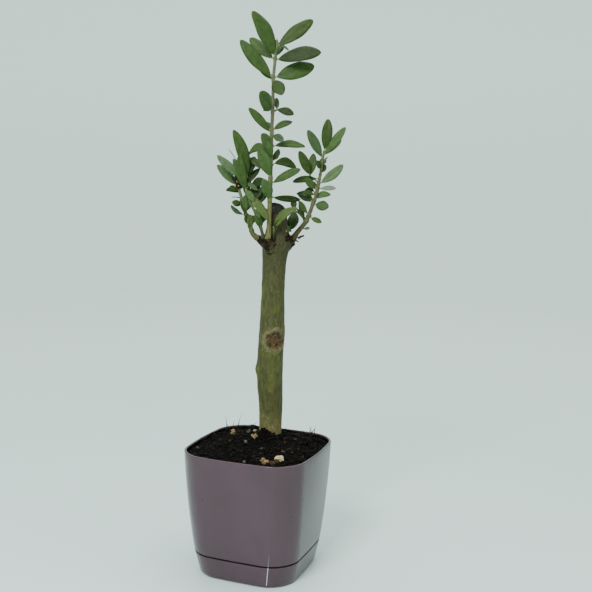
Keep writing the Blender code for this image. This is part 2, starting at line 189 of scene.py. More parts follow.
def ringedCylinder(sides, rings):  # radius 1 and length 1 about the origin, cut into rings
    form = bmesh.new()
    bmesh.ops.create_cone(form, cap_ends=True, segments=sides, radius1=1, radius2=1, depth=1)
    upright = [edge for edge in form.edges if abs(edge.verts[0].co.z - edge.verts[1].co.z) > 0.5]
    if rings > 1:
        bmesh.ops.subdivide_edges(form, edges=upright, cuts=rings - 1, use_grid_fill=True)
    return form


# Camera, where the photograph was taken from: mm in the front view, degrees, and mm of lens and sensor
camera = {"spot": (31.9, -786.3, 351.2), "tiltDown": 7.04, "roll": 0.9, "lens": 53.09, "sensor": 36}

cameraData = bpy.data.cameras.new("camera")
cameraData.lens = camera["lens"]
cameraData.sensor_width = camera["sensor"]
cameraData.clip_start = 0.01
cameraObject = bpy.data.objects.new("camera", cameraData)
bpy.context.scene.collection.objects.link(cameraObject)
cameraObject.matrix_world = (
    plantFrame
    @ Matrix.Translation(Vector(camera["spot"]) * mm)
    @ Matrix.Rotation(math.radians(90 - camera["tiltDown"]), 4, "X")
    @ Matrix.Rotation(math.radians(camera["roll"]), 4, "Z")
)
bpy.context.scene.camera = cameraObject
print("camera placed")


# Stage, in m: a round pale floor whose edge sweeps up all round, open to a pale sky
stage = {
    "near": "#cce0db",
    "far": "#f0fdf7",
    "reach": (0.5, 2.2),  # from the pot, where the near tone ends and the far one begins
    "floorRadius": 2.2,
    "sweep": 0.9,  # radius of the curve from floor to wall
    "sweepSteps": 12,
    "around": 96,
    "wall": 1.2,
    "sky": "#e2eaec",
    "skyStrength": 0.73,
}


def stageBoard():
    # Painted white board: nearly matt, with faint clouds of tone, and painted light: paler far out, darker
    # near the pot
    made, tree = newMaterial("matt_white_board", **{"Roughness": 0.42, "Specular IOR Level": 0.35})
    place = addNode(tree, "ShaderNodeTexCoord", {}).outputs["Object"]
    away = addNode(tree, "ShaderNodeVectorMath", {"operation": "LENGTH", 0: place}).outputs["Value"]
    # painted light: the far tone is paler to make up for less light reaching the far wall
    share = addRange(tree, away, *stage["reach"])
    cloudy = addMath(tree, "MULTIPLY_ADD", addNoise(tree, (260, 260, 260), 3.0), 0.1, share)
    tone = addRamp(tree, cloudy, (0.0, stage["near"]), (1.0, stage["far"]))
    return dressed(made, {"Base Color": tone})


def makeStage():
    form = bmesh.new()
    bmesh.ops.create_circle(form, cap_ends=True, segments=stage["around"], radius=stage["floorRadius"])
    rim = [edge for edge in form.edges if edge.is_boundary]
    rises = []
    for k in range(1, stage["sweepSteps"] + 1):
        angle = math.pi / 2 * k / stage["sweepSteps"]
        out = stage["floorRadius"] + stage["sweep"] * math.sin(angle)
        rises.append((out, stage["sweep"] * (1 - math.cos(angle))))
    rises.append((rises[-1][0], stage["sweep"] + stage["wall"]))
    for out, height in rises:
        verts, rim = extruded(form, rim)
        for vert in verts:
            flat = Vector((vert.co.x, vert.co.y, 0)).normalized() * out
            vert.co = (flat.x, flat.y, height)
    bmesh.ops.recalc_face_normals(form, faces=form.faces)
    floor = formObject("floor", form, [stageBoard()])


makeStage()

# Lights, in the front view: spot and aim in mm, size in mm, watts and colour
lights = {
    "window": {
        "spot": (-480, -1150, 1300), "aim": (10, 0, 200), "size": (520, 520),
        "watts": 32.5, "colour": "#f6fbff",
    },
    "ceiling": {
        "spot": (200, 100, 1900), "aim": (10, 0, 200), "size": (1800, 1800),
        "watts": 26, "colour": "#ffffff",
    },
    "fill": {
        "spot": (1300, -500, 700), "aim": (10, 0, 200), "size": (900, 1200),
        "watts": 3.4, "colour": "#fff8ec",
    },
    "wall": {
        "spot": (0, 900, 2000), "aim": (0, 2900, 100), "size": (2400, 900),
        "watts": 12, "colour": "#e0fff2",
    },
}


def makeLights():
    world = bpy.data.worlds.new("sky")
    bpy.context.scene.world = world
    world.use_nodes = True
    background = world.node_tree.nodes["Background"]
    background.inputs["Color"].default_value = linear(stage["sky"])
    background.inputs["Strength"].default_value = stage["skyStrength"]
    for name, light in lights.items():
        data = bpy.data.lights.new(name, "AREA")
        data.shape = "RECTANGLE"
        data.size, data.size_y = (side * mm for side in light["size"])
        data.energy = light["watts"]
        data.color = linear(light["colour"])[:3]
        item = bpy.data.objects.new(name, data)
        bpy.context.scene.collection.objects.link(item)
        aim = (Vector(light["aim"]) - Vector(light["spot"])).to_track_quat("-Z", "Y").to_matrix().to_4x4()
        item.matrix_world = plantFrame @ Matrix.Translation(Vector(light["spot"]) * mm) @ aim


makeLights()
print("stage and lights placed")


# Pot and saucer, in mm: flat width, bow of each side and corner radius of the section at each height
pot = {
    "height": 115.1,
    "seam": 21.3,
    "seamGap": 1.55,
    "rim": (110.4, 4.8, 21.3),
    "seamSection": (99.5, 1.8, 24.0),
    "base": (90.7, 1.9, 22.6),
    "belly": 2.1,
    "wall": 2.0,
    "floor": 2.2,
    "gap": 0.3,
    "lip": 0.75,  # rounding of the rim
    "seamEdge": 0.4,
    "footEdge": 2.4,
    "innerEdge": 0.2,  # bevel inside the saucer's rim
    "underEdge": 0.3,  # bevel under the seam
    "innerFoot": (0.8, 1.6),  # bevel of the foot that stands in the saucer: across and up
    "around": 192,  # points round a section
    "colour": "#4d3841",
    "deep": "#44343a",
    "rimDark": {"full": 115.4, "none": 117.8, "wander": 5.0},  # of the darkening inside the rim, by height and noise
    "paintedGlint": {  # a painted highlight: a pale glint line up the near side by the corner, in the front view
        "foot": 9.6, "lean": 0.072, "halfWidth": 0.36, "bottom": 3.0, "top": 36,
        "yMost": -30.0,  # how far back it may show
        "colour": "#f4f8f8", "full": 0.66, "faint": 0.25,
    },
    "specks": (  # x, z and radius of flecks of dirt, in the front view
        (-48.2, 76.4, 0.8), (31.4, 68.8, 0.7),
    ),
}
soilTones = {"dark": "#030302", "mid": "#080605", "brown": "#150f0a"}


def wallSection(height):  # flat width, bow and corner radius at a height
    if height <= pot["seam"]:
        share = height / pot["seam"]
        low, high, swell = pot["base"], pot["seamSection"], 0.0
    else:
        share = (height - pot["seam"]) / (pot["height"] - pot["seam"])
        low, high = pot["seamSection"], pot["rim"]
        swell = pot["belly"] * 4 * share * (1 - share)
    flat, bow, corner = (a + (b - a) * share for a, b in zip(low, high))
    return flat + swell, bow, corner


def wallPoint(step, height, inset):
    # a point of the bowed square with round corners, set in from the outside of the wall
    flat, bow, corner = wallSection(min(height, pot["height"]))
    half = flat / 2 - inset
    radius = max(corner - inset, 2.0)
    middle = half - radius
    quarter, share = divmod(4 * step / pot["around"], 1)
    if share < 0.5:
        angle = math.pi * share
        x, y = middle + radius * math.cos(angle), middle + radius * math.sin(angle)
    else:
        x, y = middle - 2 * middle * (2 * share - 1), half
    outX = x * (1 + bow / half * (1 - (y / half) ** 2))
    outY = y * (1 + bow / half * (1 - (x / half) ** 2))
    turned = Matrix.Rotation(quarter * math.pi / 2, 2) @ Vector((outX, outY))
    return Vector((turned.x, turned.y, height))


def wallForm(profile):  # a closed shell through rings of (height, inset), the first and last ones capped
    form = bmesh.new()
    stepOf = form.verts.layers.int.new("step")
    bmesh.ops.create_circle(form, segments=pot["around"], radius=1)
    for step, vert in enumerate(form.verts):
        vert[stepOf] = step
        vert.co = wallPoint(step, *profile[0])
    ring = list(form.edges)
    bmesh.ops.contextual_create(form, geom=ring)
    for height, inset in profile[1:]:
        verts, ring = extruded(form, ring)
        for vert in verts:
            vert.co = wallPoint(vert[stepOf], height, inset)
    bmesh.ops.contextual_create(form, geom=ring)
    bmesh.ops.recalc_face_normals(form, faces=form.faces)
    return form


def roundEdge(height, inset, radius, start, end, steps=4):
    # points of an arc about (height, inset): 0 degrees points out of the wall, 90 points up
    angles = [math.radians(start + (end - start) * k / steps) for k in range(steps + 1)]
    return [(height + radius * math.sin(angle), inset - radius * math.cos(angle)) for angle in angles]


def paintedGlintMask(tree, axes):  # where the painted highlight line shows, from the X, Y and Z of the front view
    glint = pot["paintedGlint"]
    x, y, z = axes.outputs
    upright = addMath(tree, "MULTIPLY_ADD", z, -glint["lean"], x)
    beside = addMath(tree, "ABSOLUTE", addMath(tree, "SUBTRACT", upright, glint["foot"]))
    line = addRange(tree, beside, 0.4 * glint["halfWidth"], glint["halfWidth"], glint["full"], 0.0)
    faint = addRange(tree, z, pot["seam"], glint["top"], glint["faint"], 0.0)  # it fades out above the seam
    middle = (pot["seam"] + glint["bottom"]) / 2
    below = addMath(tree, "COMPARE", z, middle, middle - glint["bottom"])
    mask = addMath(tree, "MULTIPLY", line, addMath(tree, "MAXIMUM", faint, below))
    mask = addMath(tree, "MULTIPLY", mask, addMath(tree, "GREATER_THAN", z, glint["bottom"]))
    return addMath(tree, "MULTIPLY", mask, addMath(tree, "LESS_THAN", y, glint["yMost"]))


def rimDarkMask(tree, axes):  # where the inside of the rim is darkened nearly black, fading out at the lip
    rimDark = pot["rimDark"]
    clump = addNoise(tree, (5, 5, 4), 5.0, 0.7)
    level = addMath(tree, "MULTIPLY_ADD", clump, rimDark["wander"], axes.outputs["Z"])
    return addRange(tree, level, rimDark["full"], rimDark["none"], 1.0, 0.0)


def potPlastic(name, rimDarkened=False):
    # Injection-moulded polypropylene: a smooth mauve skin with a soft gloss, a faint flow tone and small
    # scuffs, a painted highlight line up the near corner, and darkened nearly black inside the rim
    made, tree = newMaterial(name, **{"IOR": 1.49, "Specular IOR Level": 0.33})
    flow = addNoise(tree, (46, 46, 70), 4.0, 0.55)
    skin = addRamp(tree, flow, (0.32, pot["deep"]), (0.68, pot["colour"]))
    axes = addNode(tree, "ShaderNodeSeparateXYZ", {"Vector": objectPattern(tree, (1, 1, 1), -plantTurn)})
    if rimDarkened:
        # the inside of the rim darkened nearly black
        skin = addMix(tree, rimDarkMask(tree, axes), skin, linear(soilTones["dark"]))
    else:
        # painted highlight: a pale glint line mixed into the skin's colour
        skin = addMix(tree, paintedGlintMask(tree, axes), skin, linear(pot["paintedGlint"]["colour"]))
        flat = addNode(tree, "ShaderNodeCombineXYZ", {"X": axes.outputs["X"], "Z": axes.outputs["Z"]})
        for x, z, radius in pot["specks"]:
            away = addNode(tree, "ShaderNodeVectorMath", {
                "operation": "DISTANCE", 0: flat.outputs["Vector"], 1: (x, 0, z),
            })
            fleck = addRange(tree, away.outputs["Value"], radius * 0.5, radius, 0.7, 0.0)
            skin = addMix(tree, fleck, skin, linear(soilTones["brown"]))
    gloss = addRange(tree, addNoise(tree, (9, 9, 5), 6.0, 0.7), 0.3, 0.75, 0.15, 0.2)
    ripple = addNoise(tree, (22, 22, 30), 2.0)
    return dressed(made, {"Base Color": skin, "Roughness": gloss}, (ripple, 0.05, 0.3))


def makePot():
    plastic = potPlastic("moulded_polypropylene")
    rimDarkened = potPlastic("polypropylene_darkened_inside_rim", rimDarkened=True)
    edge, lip, foot = pot["seamEdge"], pot["lip"], pot["footEdge"]
    bevel, under = pot["innerEdge"], pot["underEdge"]
    across, up = pot["innerFoot"]
    top = pot["seam"] - pot["seamGap"] / 2
    profile = roundEdge(foot, foot, foot, -90, 0, 6)  # up the outside of the saucer, then down into it
    profile += [(top * share, 0) for share in (0.35, 0.6, 0.85)]
    profile += roundEdge(top - edge, edge, edge, 0, 90)
    profile += [(top, pot["wall"] - bevel), (top - bevel, pot["wall"]), (pot["floor"], pot["wall"])]
    finishPiece("saucer_shell", wallForm(profile), [plastic], ["saucer"], sharp=50)

    base = pot["floor"] + pot["gap"]
    step = pot["seam"] + pot["seamGap"] / 2
    tuck = pot["wall"] + pot["seamGap"]
    # up the foot that stands in the saucer, out at the seam, over the rim and down the inside
    profile = [(base, tuck + across), (base + up, tuck), (step - under, tuck), (step, tuck - under)]
    profile += roundEdge(step + edge, edge, edge, -90, 0)
    profile += [(step + (pot["height"] - step) * k / 12, 0) for k in range(1, 12)]
    profile += roundEdge(pot["height"] - lip, lip, lip, 0, 90)
    profile += roundEdge(pot["height"] - lip, pot["wall"] - lip, lip, 90, 180)[1:]
    profile += [(step + (pot["height"] - step) * share, pot["wall"]) for share in (0.8, 0.5, 0.2)]
    profile += [(step + tuck, tuck + pot["wall"]), (base + pot["floor"], tuck + pot["wall"])]
    form = wallForm(profile)
    for face in form.faces:
        middle = face.calc_center_median()
        if middle.z > step + 10 and middle.x * face.normal.x + middle.y * face.normal.y < -1:
            face.material_index = 1
    finishPiece("pot_shell", form, [plastic, rimDarkened], ["pot"], sharp=50)


makePot()
print("pot and saucer made")


# Soil: a moist black peat mix, mounded towards the trunk, with crumbs, fibres and pale grit
soil = {
    "drop": 3.6,  # below the rim at the wall
    "crown": 118.6,
    "hub": 4.725,  # radius of the innermost ring, under the trunk
    "rings": 52,
    "clumps": ((0.16, 3.1, 1.32), (0.55, 7.7, 0.96), (1.3, 1.9, 0.42)),  # how fine, noise's level, height
    "mound": {"spread": 1.25, "power": 1.3},  # how soon it is full, from the wall, and how it starts
    "calm": (0.35, 4),  # share of the relief at the wall, and how soon it grows from there
    "heap": {"spot": (3.9, 11.4), "height": 8.0, "radius": 7.0},  # against the trunk's left front
    "crumbs": 3600,
    "crumbSize": (0.7, 3.4),  # the least, and what may be added to it
    "crumbRise": 0.16,  # of its middle above the soil, as a share of its size
    "crumbMix": (70, 24, 6),  # of peat, bark and rotted wood
    "crumbSpan": 58,  # half the square that their places are drawn from
    "seed": 5,
}
trunkFoot = Vector((9.2, 33.0)) * plantScale + plantShift.xy  # in the front view
frontView = Matrix.Rotation(plantTurn, 2)


def soilHeight(flat):  # clumps and the heap, above the even mound, at a point of the pot's own plan
    seen = frontView.inverted() @ flat
    away = (seen - Vector(soil["heap"]["spot"])).length / soil["heap"]["radius"]
    heap = soil["heap"]["height"] * math.exp(-away * away)
    return heap + sum(
        height * noise.noise(Vector((flat.x * pitch, flat.y * pitch, level)))
        for pitch, level, height in soil["clumps"]
    )


def peatMix():
    # Moist peat: nearly black, matt, with brown fibres and rotted bark that catch a little light
    made, tree = newMaterial("moist_peat", **{"Roughness": 0.9, "Specular IOR Level": 0.08})
    grain = addNoise(tree, (3.2, 3.2, 3.2), 6.0, 0.7)
    tone = addRamp(tree, grain, *zip((0.42, 0.6, 0.78), soilTones.values()))
    return dressed(made, {"Base Color": tone}, (grain, 0.8, 0.8))


def plainCrumb(name, light, dark, roughness=0.85, gloss=0.1):
    # A crumb's own stuff, lighter and darker by grains of about half a mm
    made, tree = newMaterial(name, **{"Roughness": roughness, "Specular IOR Level": gloss})
    grain = addNoise(tree, (1.4, 1.4, 1.4), 4.0)
    tone = addRamp(tree, grain, (0.35, dark), (0.65, light))
    return dressed(made, {"Base Color": tone}, (grain, 0.5, 0.3))


def makeSoilBed():
    foot = 2 * pot["floor"] + 2 * pot["gap"]
    step = pot["seam"] + pot["seamGap"] / 2
    tuck = pot["wall"] + pot["seamGap"]
    edge = pot["height"] - soil["drop"]
    inset = pot["wall"] + 2 * pot["gap"]
    profile = [(foot, tuck + inset), (step + tuck, tuck + inset)]
    profile += [(step + (pot["height"] - step) * share, inset) for share in (0.2, 0.5, 0.8)]
    profile.append((edge - 3, inset))
    form = wallForm(profile)
    form.faces.ensure_lookup_table()
    top = max(form.faces, key=lambda face: face.calc_center_median().z if len(face.verts) > 4 else -1)
    stepOf = form.verts.layers.int["step"]
    middle = frontView @ trunkFoot
    least, growth = soil["calm"]
    ring = list(top.edges)
    bmesh.ops.delete(form, geom=[top], context="FACES_ONLY")
    for k in range(soil["rings"] + 1):
        share = (k / soil["rings"]) ** 0.9
        verts, ring = extruded(form, ring)
        for vert in verts:
            rim = wallPoint(vert[stepOf], edge, inset).xy
            hub = middle + (rim - middle).normalized() * soil["hub"]
            flat = rim.lerp(hub, share)
            mound = min(1.0, (flat - rim).length / (middle - rim).length * soil["mound"]["spread"])
            height = edge + (soil["crown"] - edge) * mound ** soil["mound"]["power"]
            vert.co = (flat.x, flat.y, height + soilHeight(flat) * min(1.0, least + growth * share))
    bmesh.ops.contextual_create(form, geom=ring)
    bmesh.ops.recalc_face_normals(form, faces=form.faces)
    surface = BVHTree.FromBMesh(form)
    finishPiece("soil_bed", form, [peatMix()], ["soil"])
    return surface


soilSurface = makeSoilBed()


def onSoil(x, y):  # the soil's surface under a point of the pot's plan: place and normal, in mm
    return soilSurface.ray_cast(Vector((x, y, 200)), Vector((0, 0, -1)))[:2]


def insidePot(x, y, margin):  # whether a point lies clear of the wall at the soil
    flat, bow, corner = wallSection(pot["height"] - soil["drop"])
    half = flat / 2 - pot["wall"] - margin
    for side, other in ((x, y), (y, x)):
        if abs(side) > half + bow * (1 - min(1.0, (other / half) ** 2)):
            return False
    radius = corner - pot["wall"]
    dx, dy = abs(x) - (half - radius), abs(y) - (half - radius)
    return not (dx > 0 and dy > 0 and math.hypot(dx, dy) > radius + bow * 0.3)


def lump(rng, size, detail=1, rough=0.35, flatness=0.7):  # an irregular crumb from an icosphere
    form = bmesh.new()
    bmesh.ops.create_icosphere(form, subdivisions=detail, radius=1)
    shift = Vector((rng.uniform(0, 90), rng.uniform(0, 90), rng.uniform(0, 90)))
    stretch = Vector((rng.uniform(0.75, 1.3), rng.uniform(0.75, 1.3), flatness * rng.uniform(0.7, 1.2)))
    for vert in form.verts:
        bulge = 1 + rough * noise.noise(vert.co * 1.7 + shift) * 1.6
        vert.co = Vector(a * b for a, b in zip(vert.co, stretch)) * bulge * size / 2
    turn = Matrix.Rotation(rng.uniform(0, 6.28), 4, "Z") @ Matrix.Rotation(rng.uniform(-0.7, 0.7), 4, "X")
    bmesh.ops.transform(form, matrix=turn, verts=form.verts)
    return form


def evenPlaces(points, steps):  # places at even steps along a line of points, both ends included
    lengths = [0.0]
    for a, b in zip(points, points[1:]):
        lengths.append(lengths[-1] + (b - a).length)
    places = []
    k = 0
    for i in range(steps + 1):
        want = lengths[-1] * i / steps
        while k < len(points) - 2 and lengths[k + 1] < want:
            k += 1
        places.append(points[k].lerp(points[k + 1], (want - lengths[k]) / (lengths[k + 1] - lengths[k])))
    return places


def tube(points, radiusAt, sides, rings):
    # a closed limb: the rings of a cylinder, set along a line of points
    form = ringedCylinder(sides, rings)
    places = evenPlaces(points, rings)
    rail = []
    side = Vector((1, 0, 0)) if abs((places[1] - places[0]).normalized().x) < 0.9 else Vector((0, 1, 0))
    for i in range(rings + 1):
        along = (places[min(i + 1, rings)] - places[max(i - 1, 0)]).normalized()
        side = (side - along * side.dot(along)).normalized()
        rail.append((places[i], side, along.cross(side)))
    for vert in form.verts:
        ring = round((vert.co.z + 0.5) * rings)
        angle = math.atan2(vert.co.y, vert.co.x)
        place, side, other = rail[ring]
        vert.co = place + (side * math.cos(angle) + other * math.sin(angle)) * radiusAt(ring / rings, angle)
    return form


# Grit on the soil, in the front view: x, y, size in mm and kind
grit = {
    "kinds": {
        "pumice": ("#cfc394", "#8d7c4a"),
        "tan": ("#96825a", "#5c4a30"),
        "brown": ("#493828", "#281d14"),
        "grey": ("#5a5750", "#322f2b"),
        "white": ("#a5a48f", "#6c6955"),
        "peat": ("#0a0806", "#020202"),
    },
    "placed": (
        (19.0, -41.0, 5.6, "pumice"), (21.6, -42.0, 3.4, "pumice"), (16.8, -39.5, 3.0, "pumice"),
        (4.7, -42.5, 4.2, "tan"), (7.2, -50.0, 5.0, "tan"), (8.4, -46.5, 3.2, "white"),
        (14.8, -51.0, 4.8, "brown"), (17.2, -47.5, 3.8, "brown"), (22.2, -24.0, 3.2, "grey"),
        (-3.8, 6.5, 5.4, "tan"), (-11.2, 35.8, 4.8, "grey"), (-5.2, 32.0, 4.2, "white"),
        (-11.1, -46.5, 2.8, "grey"), (-27.3, 37.9, 5.0, "tan"), (3.0, -16.0, 1.8, "grey"),
        (-27.6, 6.5, 3.0, "brown"), (-56.5, -6.5, 3.0, "grey"), (-12.0, 0.0, 2.8, "grey"),
        (24.0, 1.0, 2.4, "brown"), (33.0, 12.0, 2.6, "brown"), (-38.0, 12.0, 2.4, "brown"),
        (-8.2, 40.0, 7.4, "peat"), (-6.5, 12.0, 3.0, "tan"), (-3.6, 16.0, 2.4, "tan"),
        (0.5, 14.6, 2.0, "brown"),
    ),
    "strewn": 34,  # small ones at random
    "strewnKinds": ("brown", "brown", "brown", "grey"),
    "strewnSize": (0.8, 1.8),
    "rise": 0.28,  # of a stone's middle above the soil, as a share of its size
    "margin": 2.5,  # from the wall
    "span": 56,  # half the square that their places are drawn from
}

# Fibres that lie on the soil, and hairs that stand up out of it near the rim, in the front view
fibre = {
    "count": 150,
    "span": 57,
    "margin": 2.5,
    "length": (4, 13),
    "rise": (0.2, 2.2),  # of the middle above the ends
    "radius": (0.1, 0.24),
    "bend": 0.45,  # radians at each of its points, the most either way
    "mix": (86, 14),  # of peat and pale ones
    "hairRadius": 0.56,
    "hairs": (  # x, y, lean to the right and length
        (-31.5, 48.0, -0.3, 10), (-28.4, 49.5, 0.15, 12), (-26.0, 50.5, 0.5, 9), (-20.0, 51.5, -0.5, 7),
        (-16.0, 51.5, 0.7, 8), (-35.0, 44.0, 0.3, 7), (51.0, 20.5, 0.1, 15), (49.5, 26.0, -0.2, 14),
        (46.5, 31.0, 0.25, 11), (47.5, 23.0, 0.4, 12), (43.0, 33.0, -0.5, 8), (-54.0, 10.0, -0.3, 8),
        (-52.0, 14.0, 0.4, 7), (-46.0, 25.0, -0.2, 6), (22.0, 44.0, 0.4, 7), (52.5, 12.0, 0.2, 8),
        (-23.5, 50.5, 0.2, 18), (-33.5, 46.0, -0.1, 18), (-12.0, 50.5, 0.9, 9), (44.0, 8.0, 0.5, 15),
        (40.5, 14.0, -0.6, 11), (46.0, 2.0, 0.3, 10), (49.0, 10.0, -0.2, 13),
    ),
}


def makeCrumbs(rng):
    span = soil["crumbSpan"]
    least, more = soil["crumbSize"]
    peat = [
        plainCrumb("peat_crumb", "#0a0806", "#020202"),
        plainCrumb("bark_crumb", "#17110b", "#060504"),
        plainCrumb("rotted_wood", "#2a1f15", "#110c07"),
    ]
    crumbs = bmesh.new()
    placed = 0
    while placed < soil["crumbs"]:
        x, y = rng.uniform(-span, span), rng.uniform(-span, span)
        if not insidePot(x, y, 1.6):
            continue
        place, normal = onSoil(x, y)
        size = least + more * rng.random() ** 4
        part = lump(rng, size, detail=2 if size > 2.2 else 1, rough=0.5)
        lift = place + normal * size * soil["crumbRise"]
        bmesh.ops.translate(part, vec=lift, verts=part.verts)
        addForm(crumbs, part, rng.choices((0, 1, 2), soil["crumbMix"])[0])
        placed += 1
    finishPiece("soil_crumbs", crumbs, peat, sharp=40)


def makeGrit(rng):
    span = grit["span"]
    kinds = list(grit["kinds"])
    stones = bmesh.new()
    spots = [(frontView @ Vector((x, y)), size, kind) for x, y, size, kind in grit["placed"]]
    while len(spots) < len(grit["placed"]) + grit["strewn"]:
        flat = Vector((rng.uniform(-span, span), rng.uniform(-span, span)))
        if insidePot(flat.x, flat.y, grit["margin"]):
            spots.append((flat, rng.uniform(*grit["strewnSize"]), rng.choice(grit["strewnKinds"])))
    for flat, size, kind in spots:
        place, normal = onSoil(flat.x, flat.y)
        part = lump(rng, size, detail=3 if size > 2.5 else 2, rough=0.45, flatness=0.85)
        bmesh.ops.translate(part, vec=place + normal * size * grit["rise"], verts=part.verts)
        addForm(stones, part, kinds.index(kind))
    tones = [plainCrumb(f"grit_{kind}", *grit["kinds"][kind], roughness=0.75) for kind in kinds]
    finishPiece("soil_grit", stones, tones, sharp=45)


def makeFibres(rng):
    span = fibre["span"]
    fibres = bmesh.new()
    for number in range(fibre["count"]):
        while True:
            flat = Vector((rng.uniform(-span, span), rng.uniform(-span, span)))
            if insidePot(flat.x, flat.y, fibre["margin"]):
                break
        heading = rng.uniform(0, 6.28)
        rise = rng.uniform(*fibre["rise"])
        length = rng.uniform(*fibre["length"])
        points = []
        for k in range(5):
            x, y = flat.x + math.cos(heading) * length * k / 4, flat.y + math.sin(heading) * length * k / 4
            if not insidePot(x, y, 1.5):
                break
            lift = 0.25 + rise * 4 * (k / 4) * (1 - k / 4)
            points.append(onSoil(x, y)[0] + Vector((0, 0, lift)))
            heading += rng.uniform(-fibre["bend"], fibre["bend"])
        if len(points) > 2:
            thick = rng.uniform(*fibre["radius"])
            part = tube(points, lambda share, angle: thick * (1.1 - share * 0.7), 4, 8)
            addForm(fibres, part, rng.choices((0, 1), fibre["mix"])[0])
    for x, y, lean, length in fibre["hairs"]:
        place = onSoil(*(frontView @ Vector((x, y))))[0]
        side = frontView @ Vector((lean, 0.1))
        points = [
            place + Vector((side.x * length * t * t, side.y * length * t * t, length * t - 0.5))
            for t in (0, 0.3, 0.65, 1)
        ]
        addForm(fibres, tube(points, lambda share, angle: fibre["hairRadius"] * (1.15 - share), 4, 8), 0)
    skins = [
        plainCrumb("peat_fibre", "#241c13", "#120d08"),
        plainCrumb("pale_rootlet", "#53472f", "#2f271a"),
    ]
    finishPiece("soil_fibres", fibres, skins)


soilRng = random.Random(soil["seed"])
makeCrumbs(soilRng)
makeGrit(soilRng)
makeFibres(soilRng)
print("soil made")


# Trunk, in mm of the plant's front view
trunk = {
    "foot": (119.3 - plantRise) / plantScale,  # 119.3 mm above the table, just clear of the frame's soil
    "y": 33.0,
    "stations": (  # height, middle, width
        (116, 9.2, 21.6), (124, 9.2, 21.4), (148, 9.1, 22.9), (163, 8.3, 24.3), (181, 8.0, 24.9),
        (197, 8.6, 24.4), (212, 9.4, 24.8), (226, 9.8, 23.6), (245, 10.0, 22.4), (264, 10.4, 21.8),
        (279, 10.9, 22.4), (290, 11.6, 24.2), (296, 12.5, 26.0), (301, 13.3, 26.4), (307, 13.6, 24.0),
        (314, 13.6, 20.4), (322, 13.4, 19.0), (332.3, 12.9, 18.0),
    ),
    "cutHeight": 332.3,
    "cutSlope": (-0.24, 0.61),
    "around": 72,  # points round the plain trunk, before it is given its skin
    "rings": 120,
    "voxel": 0.6,
    "relief": ((0.32, 0.09, 0.09), (0.15, 0.42, 0.07), (0.15, 1.1, 0.4)),  # height, how fine across and up
    "lenticel": {"height": 0.16, "fine": (1.0, 0.75), "shift": 40, "from": 0.38, "to": 0.6},
    "footTone": (117, 148),  # heights between which the pale foot fades out
    "dusk": {"from": 242, "to": 306, "band": 228, "bandReach": 22, "bandFull": 0.3},  # where it darkens
    "scar": {  # of a lost branch: its core sinks and the ring of bark round it rises
        "spot": (12.8, 208.8), "inner": (9.0, 8.6), "outer": (10.6, 11.8), "rise": 1.0, "sink": 1.0,
    },
    "bump": {"spot": (-4.2, 33.0, 179.0), "radius": (6.0, 8.0, 4.6), "rise": 1.5},
    "pits": (  # x, z, half width, half height, depth
        (3.7, 208.7, 1.5, 1.7, 0.7), (10.5, 198.7, 1.4, 0.9, 0.6), (10.3, 210.8, 0.9, 3.6, 1.1),
        (14.8, 203.5, 1.6, 1.4, 0.8), (12.9, 214.6, 3.4, 0.8, 0.7), (16.4, 210.5, 0.8, 3.2, 0.5),
    ),
    "crust": (  # x, y, z and reach of each rough dark patch round the shoots' feet
        (0.8, 22.0, 305.5, 6.0), (-2.4, 29.0, 304.0, 4.8), (6.2, 21.0, 298.5, 4.2), (7.2, 22.0, 293.5, 2.4),
        (25.5, 30.0, 303.5, 2.6), (23.8, 25.5, 305.0, 2.4), (26.0, 32.0, 300.0, 1.8),
        (2.4, 21.5, 312.0, 3.2), (9.5, 21.5, 303.5, 3.0), (-1.8, 24.5, 306.5, 3.6),
        (1.6, 19.5, 305.5, 3.4), (4.2, 17.6, 303.0, 3.0), (-4.0, 28.0, 303.0, 3.2),
        (8.4, 18.6, 304.5, 2.6), (24.5, 28.0, 307.0, 1.8), (4.5, 20.5, 297.0, 2.6),
        (3.4, 25.0, 313.0, 3.2), (2.6, 24.0, 309.0, 3.6),
    ),
    "flakes": 7,  # for each mm of a patch's reach
    "flakeSize": (0.8, 2.5),
    "flakeMix": (70, 30),  # of dark and rusty ones
    "seed": 3,
}
collars = {  # where each shoot leaves the trunk: foot, tip, foot diameter, tip diameter
    "left": ((5, 31, 298), (-3.4, 30, 303.6), 11, 7.0),
    "right": ((19, 34, 296), (28.3, 33, 304.4), 14, 8.2),
    "leader": ((8, 25, 294), (5.3, 18.6, 304.6), 13, 6.6),
    "inner": ((5, 27, 298), (0.9, 21.4, 305.2), 9, 4.6),
}


def smoothRoute(points, step=6.0):  # a smooth curve through the points, read off about every step
    route = [Vector(point) for point in points]
    padded = [2 * route[0] - route[1], *route, 2 * route[-1] - route[-2]]
    fine = []
    for before, start, end, after in zip(padded, padded[1:], padded[2:], padded[3:]):
        count = max(1, round((end - start).length / step))
        for k in range(count):
            t = k / count
            fine.append(0.5 * (
                2 * start + (end - before) * t + (2 * before - 5 * start + 4 * end - after) * t * t
                + (3 * start - before - 3 * end + after) * t ** 3
            ))
    fine.append(route[-1])
    return fine


def pointAt(line, height):  # the point of a rising line at a height
    for a, b in zip(line, line[1:]):
        if a.z <= height <= b.z:
            return a.lerp(b, (height - a.z) / (b.z - a.z))
    return line[-1].copy() if height > line[-1].z else line[0].copy()


def cutHeightAt(x, y):  # of the slanted saw cut
    slopeX, slopeY = trunk["cutSlope"]
    return trunk["cutHeight"] + slopeX * (x - trunk["stations"][-1][1]) + slopeY * (y - trunk["y"])


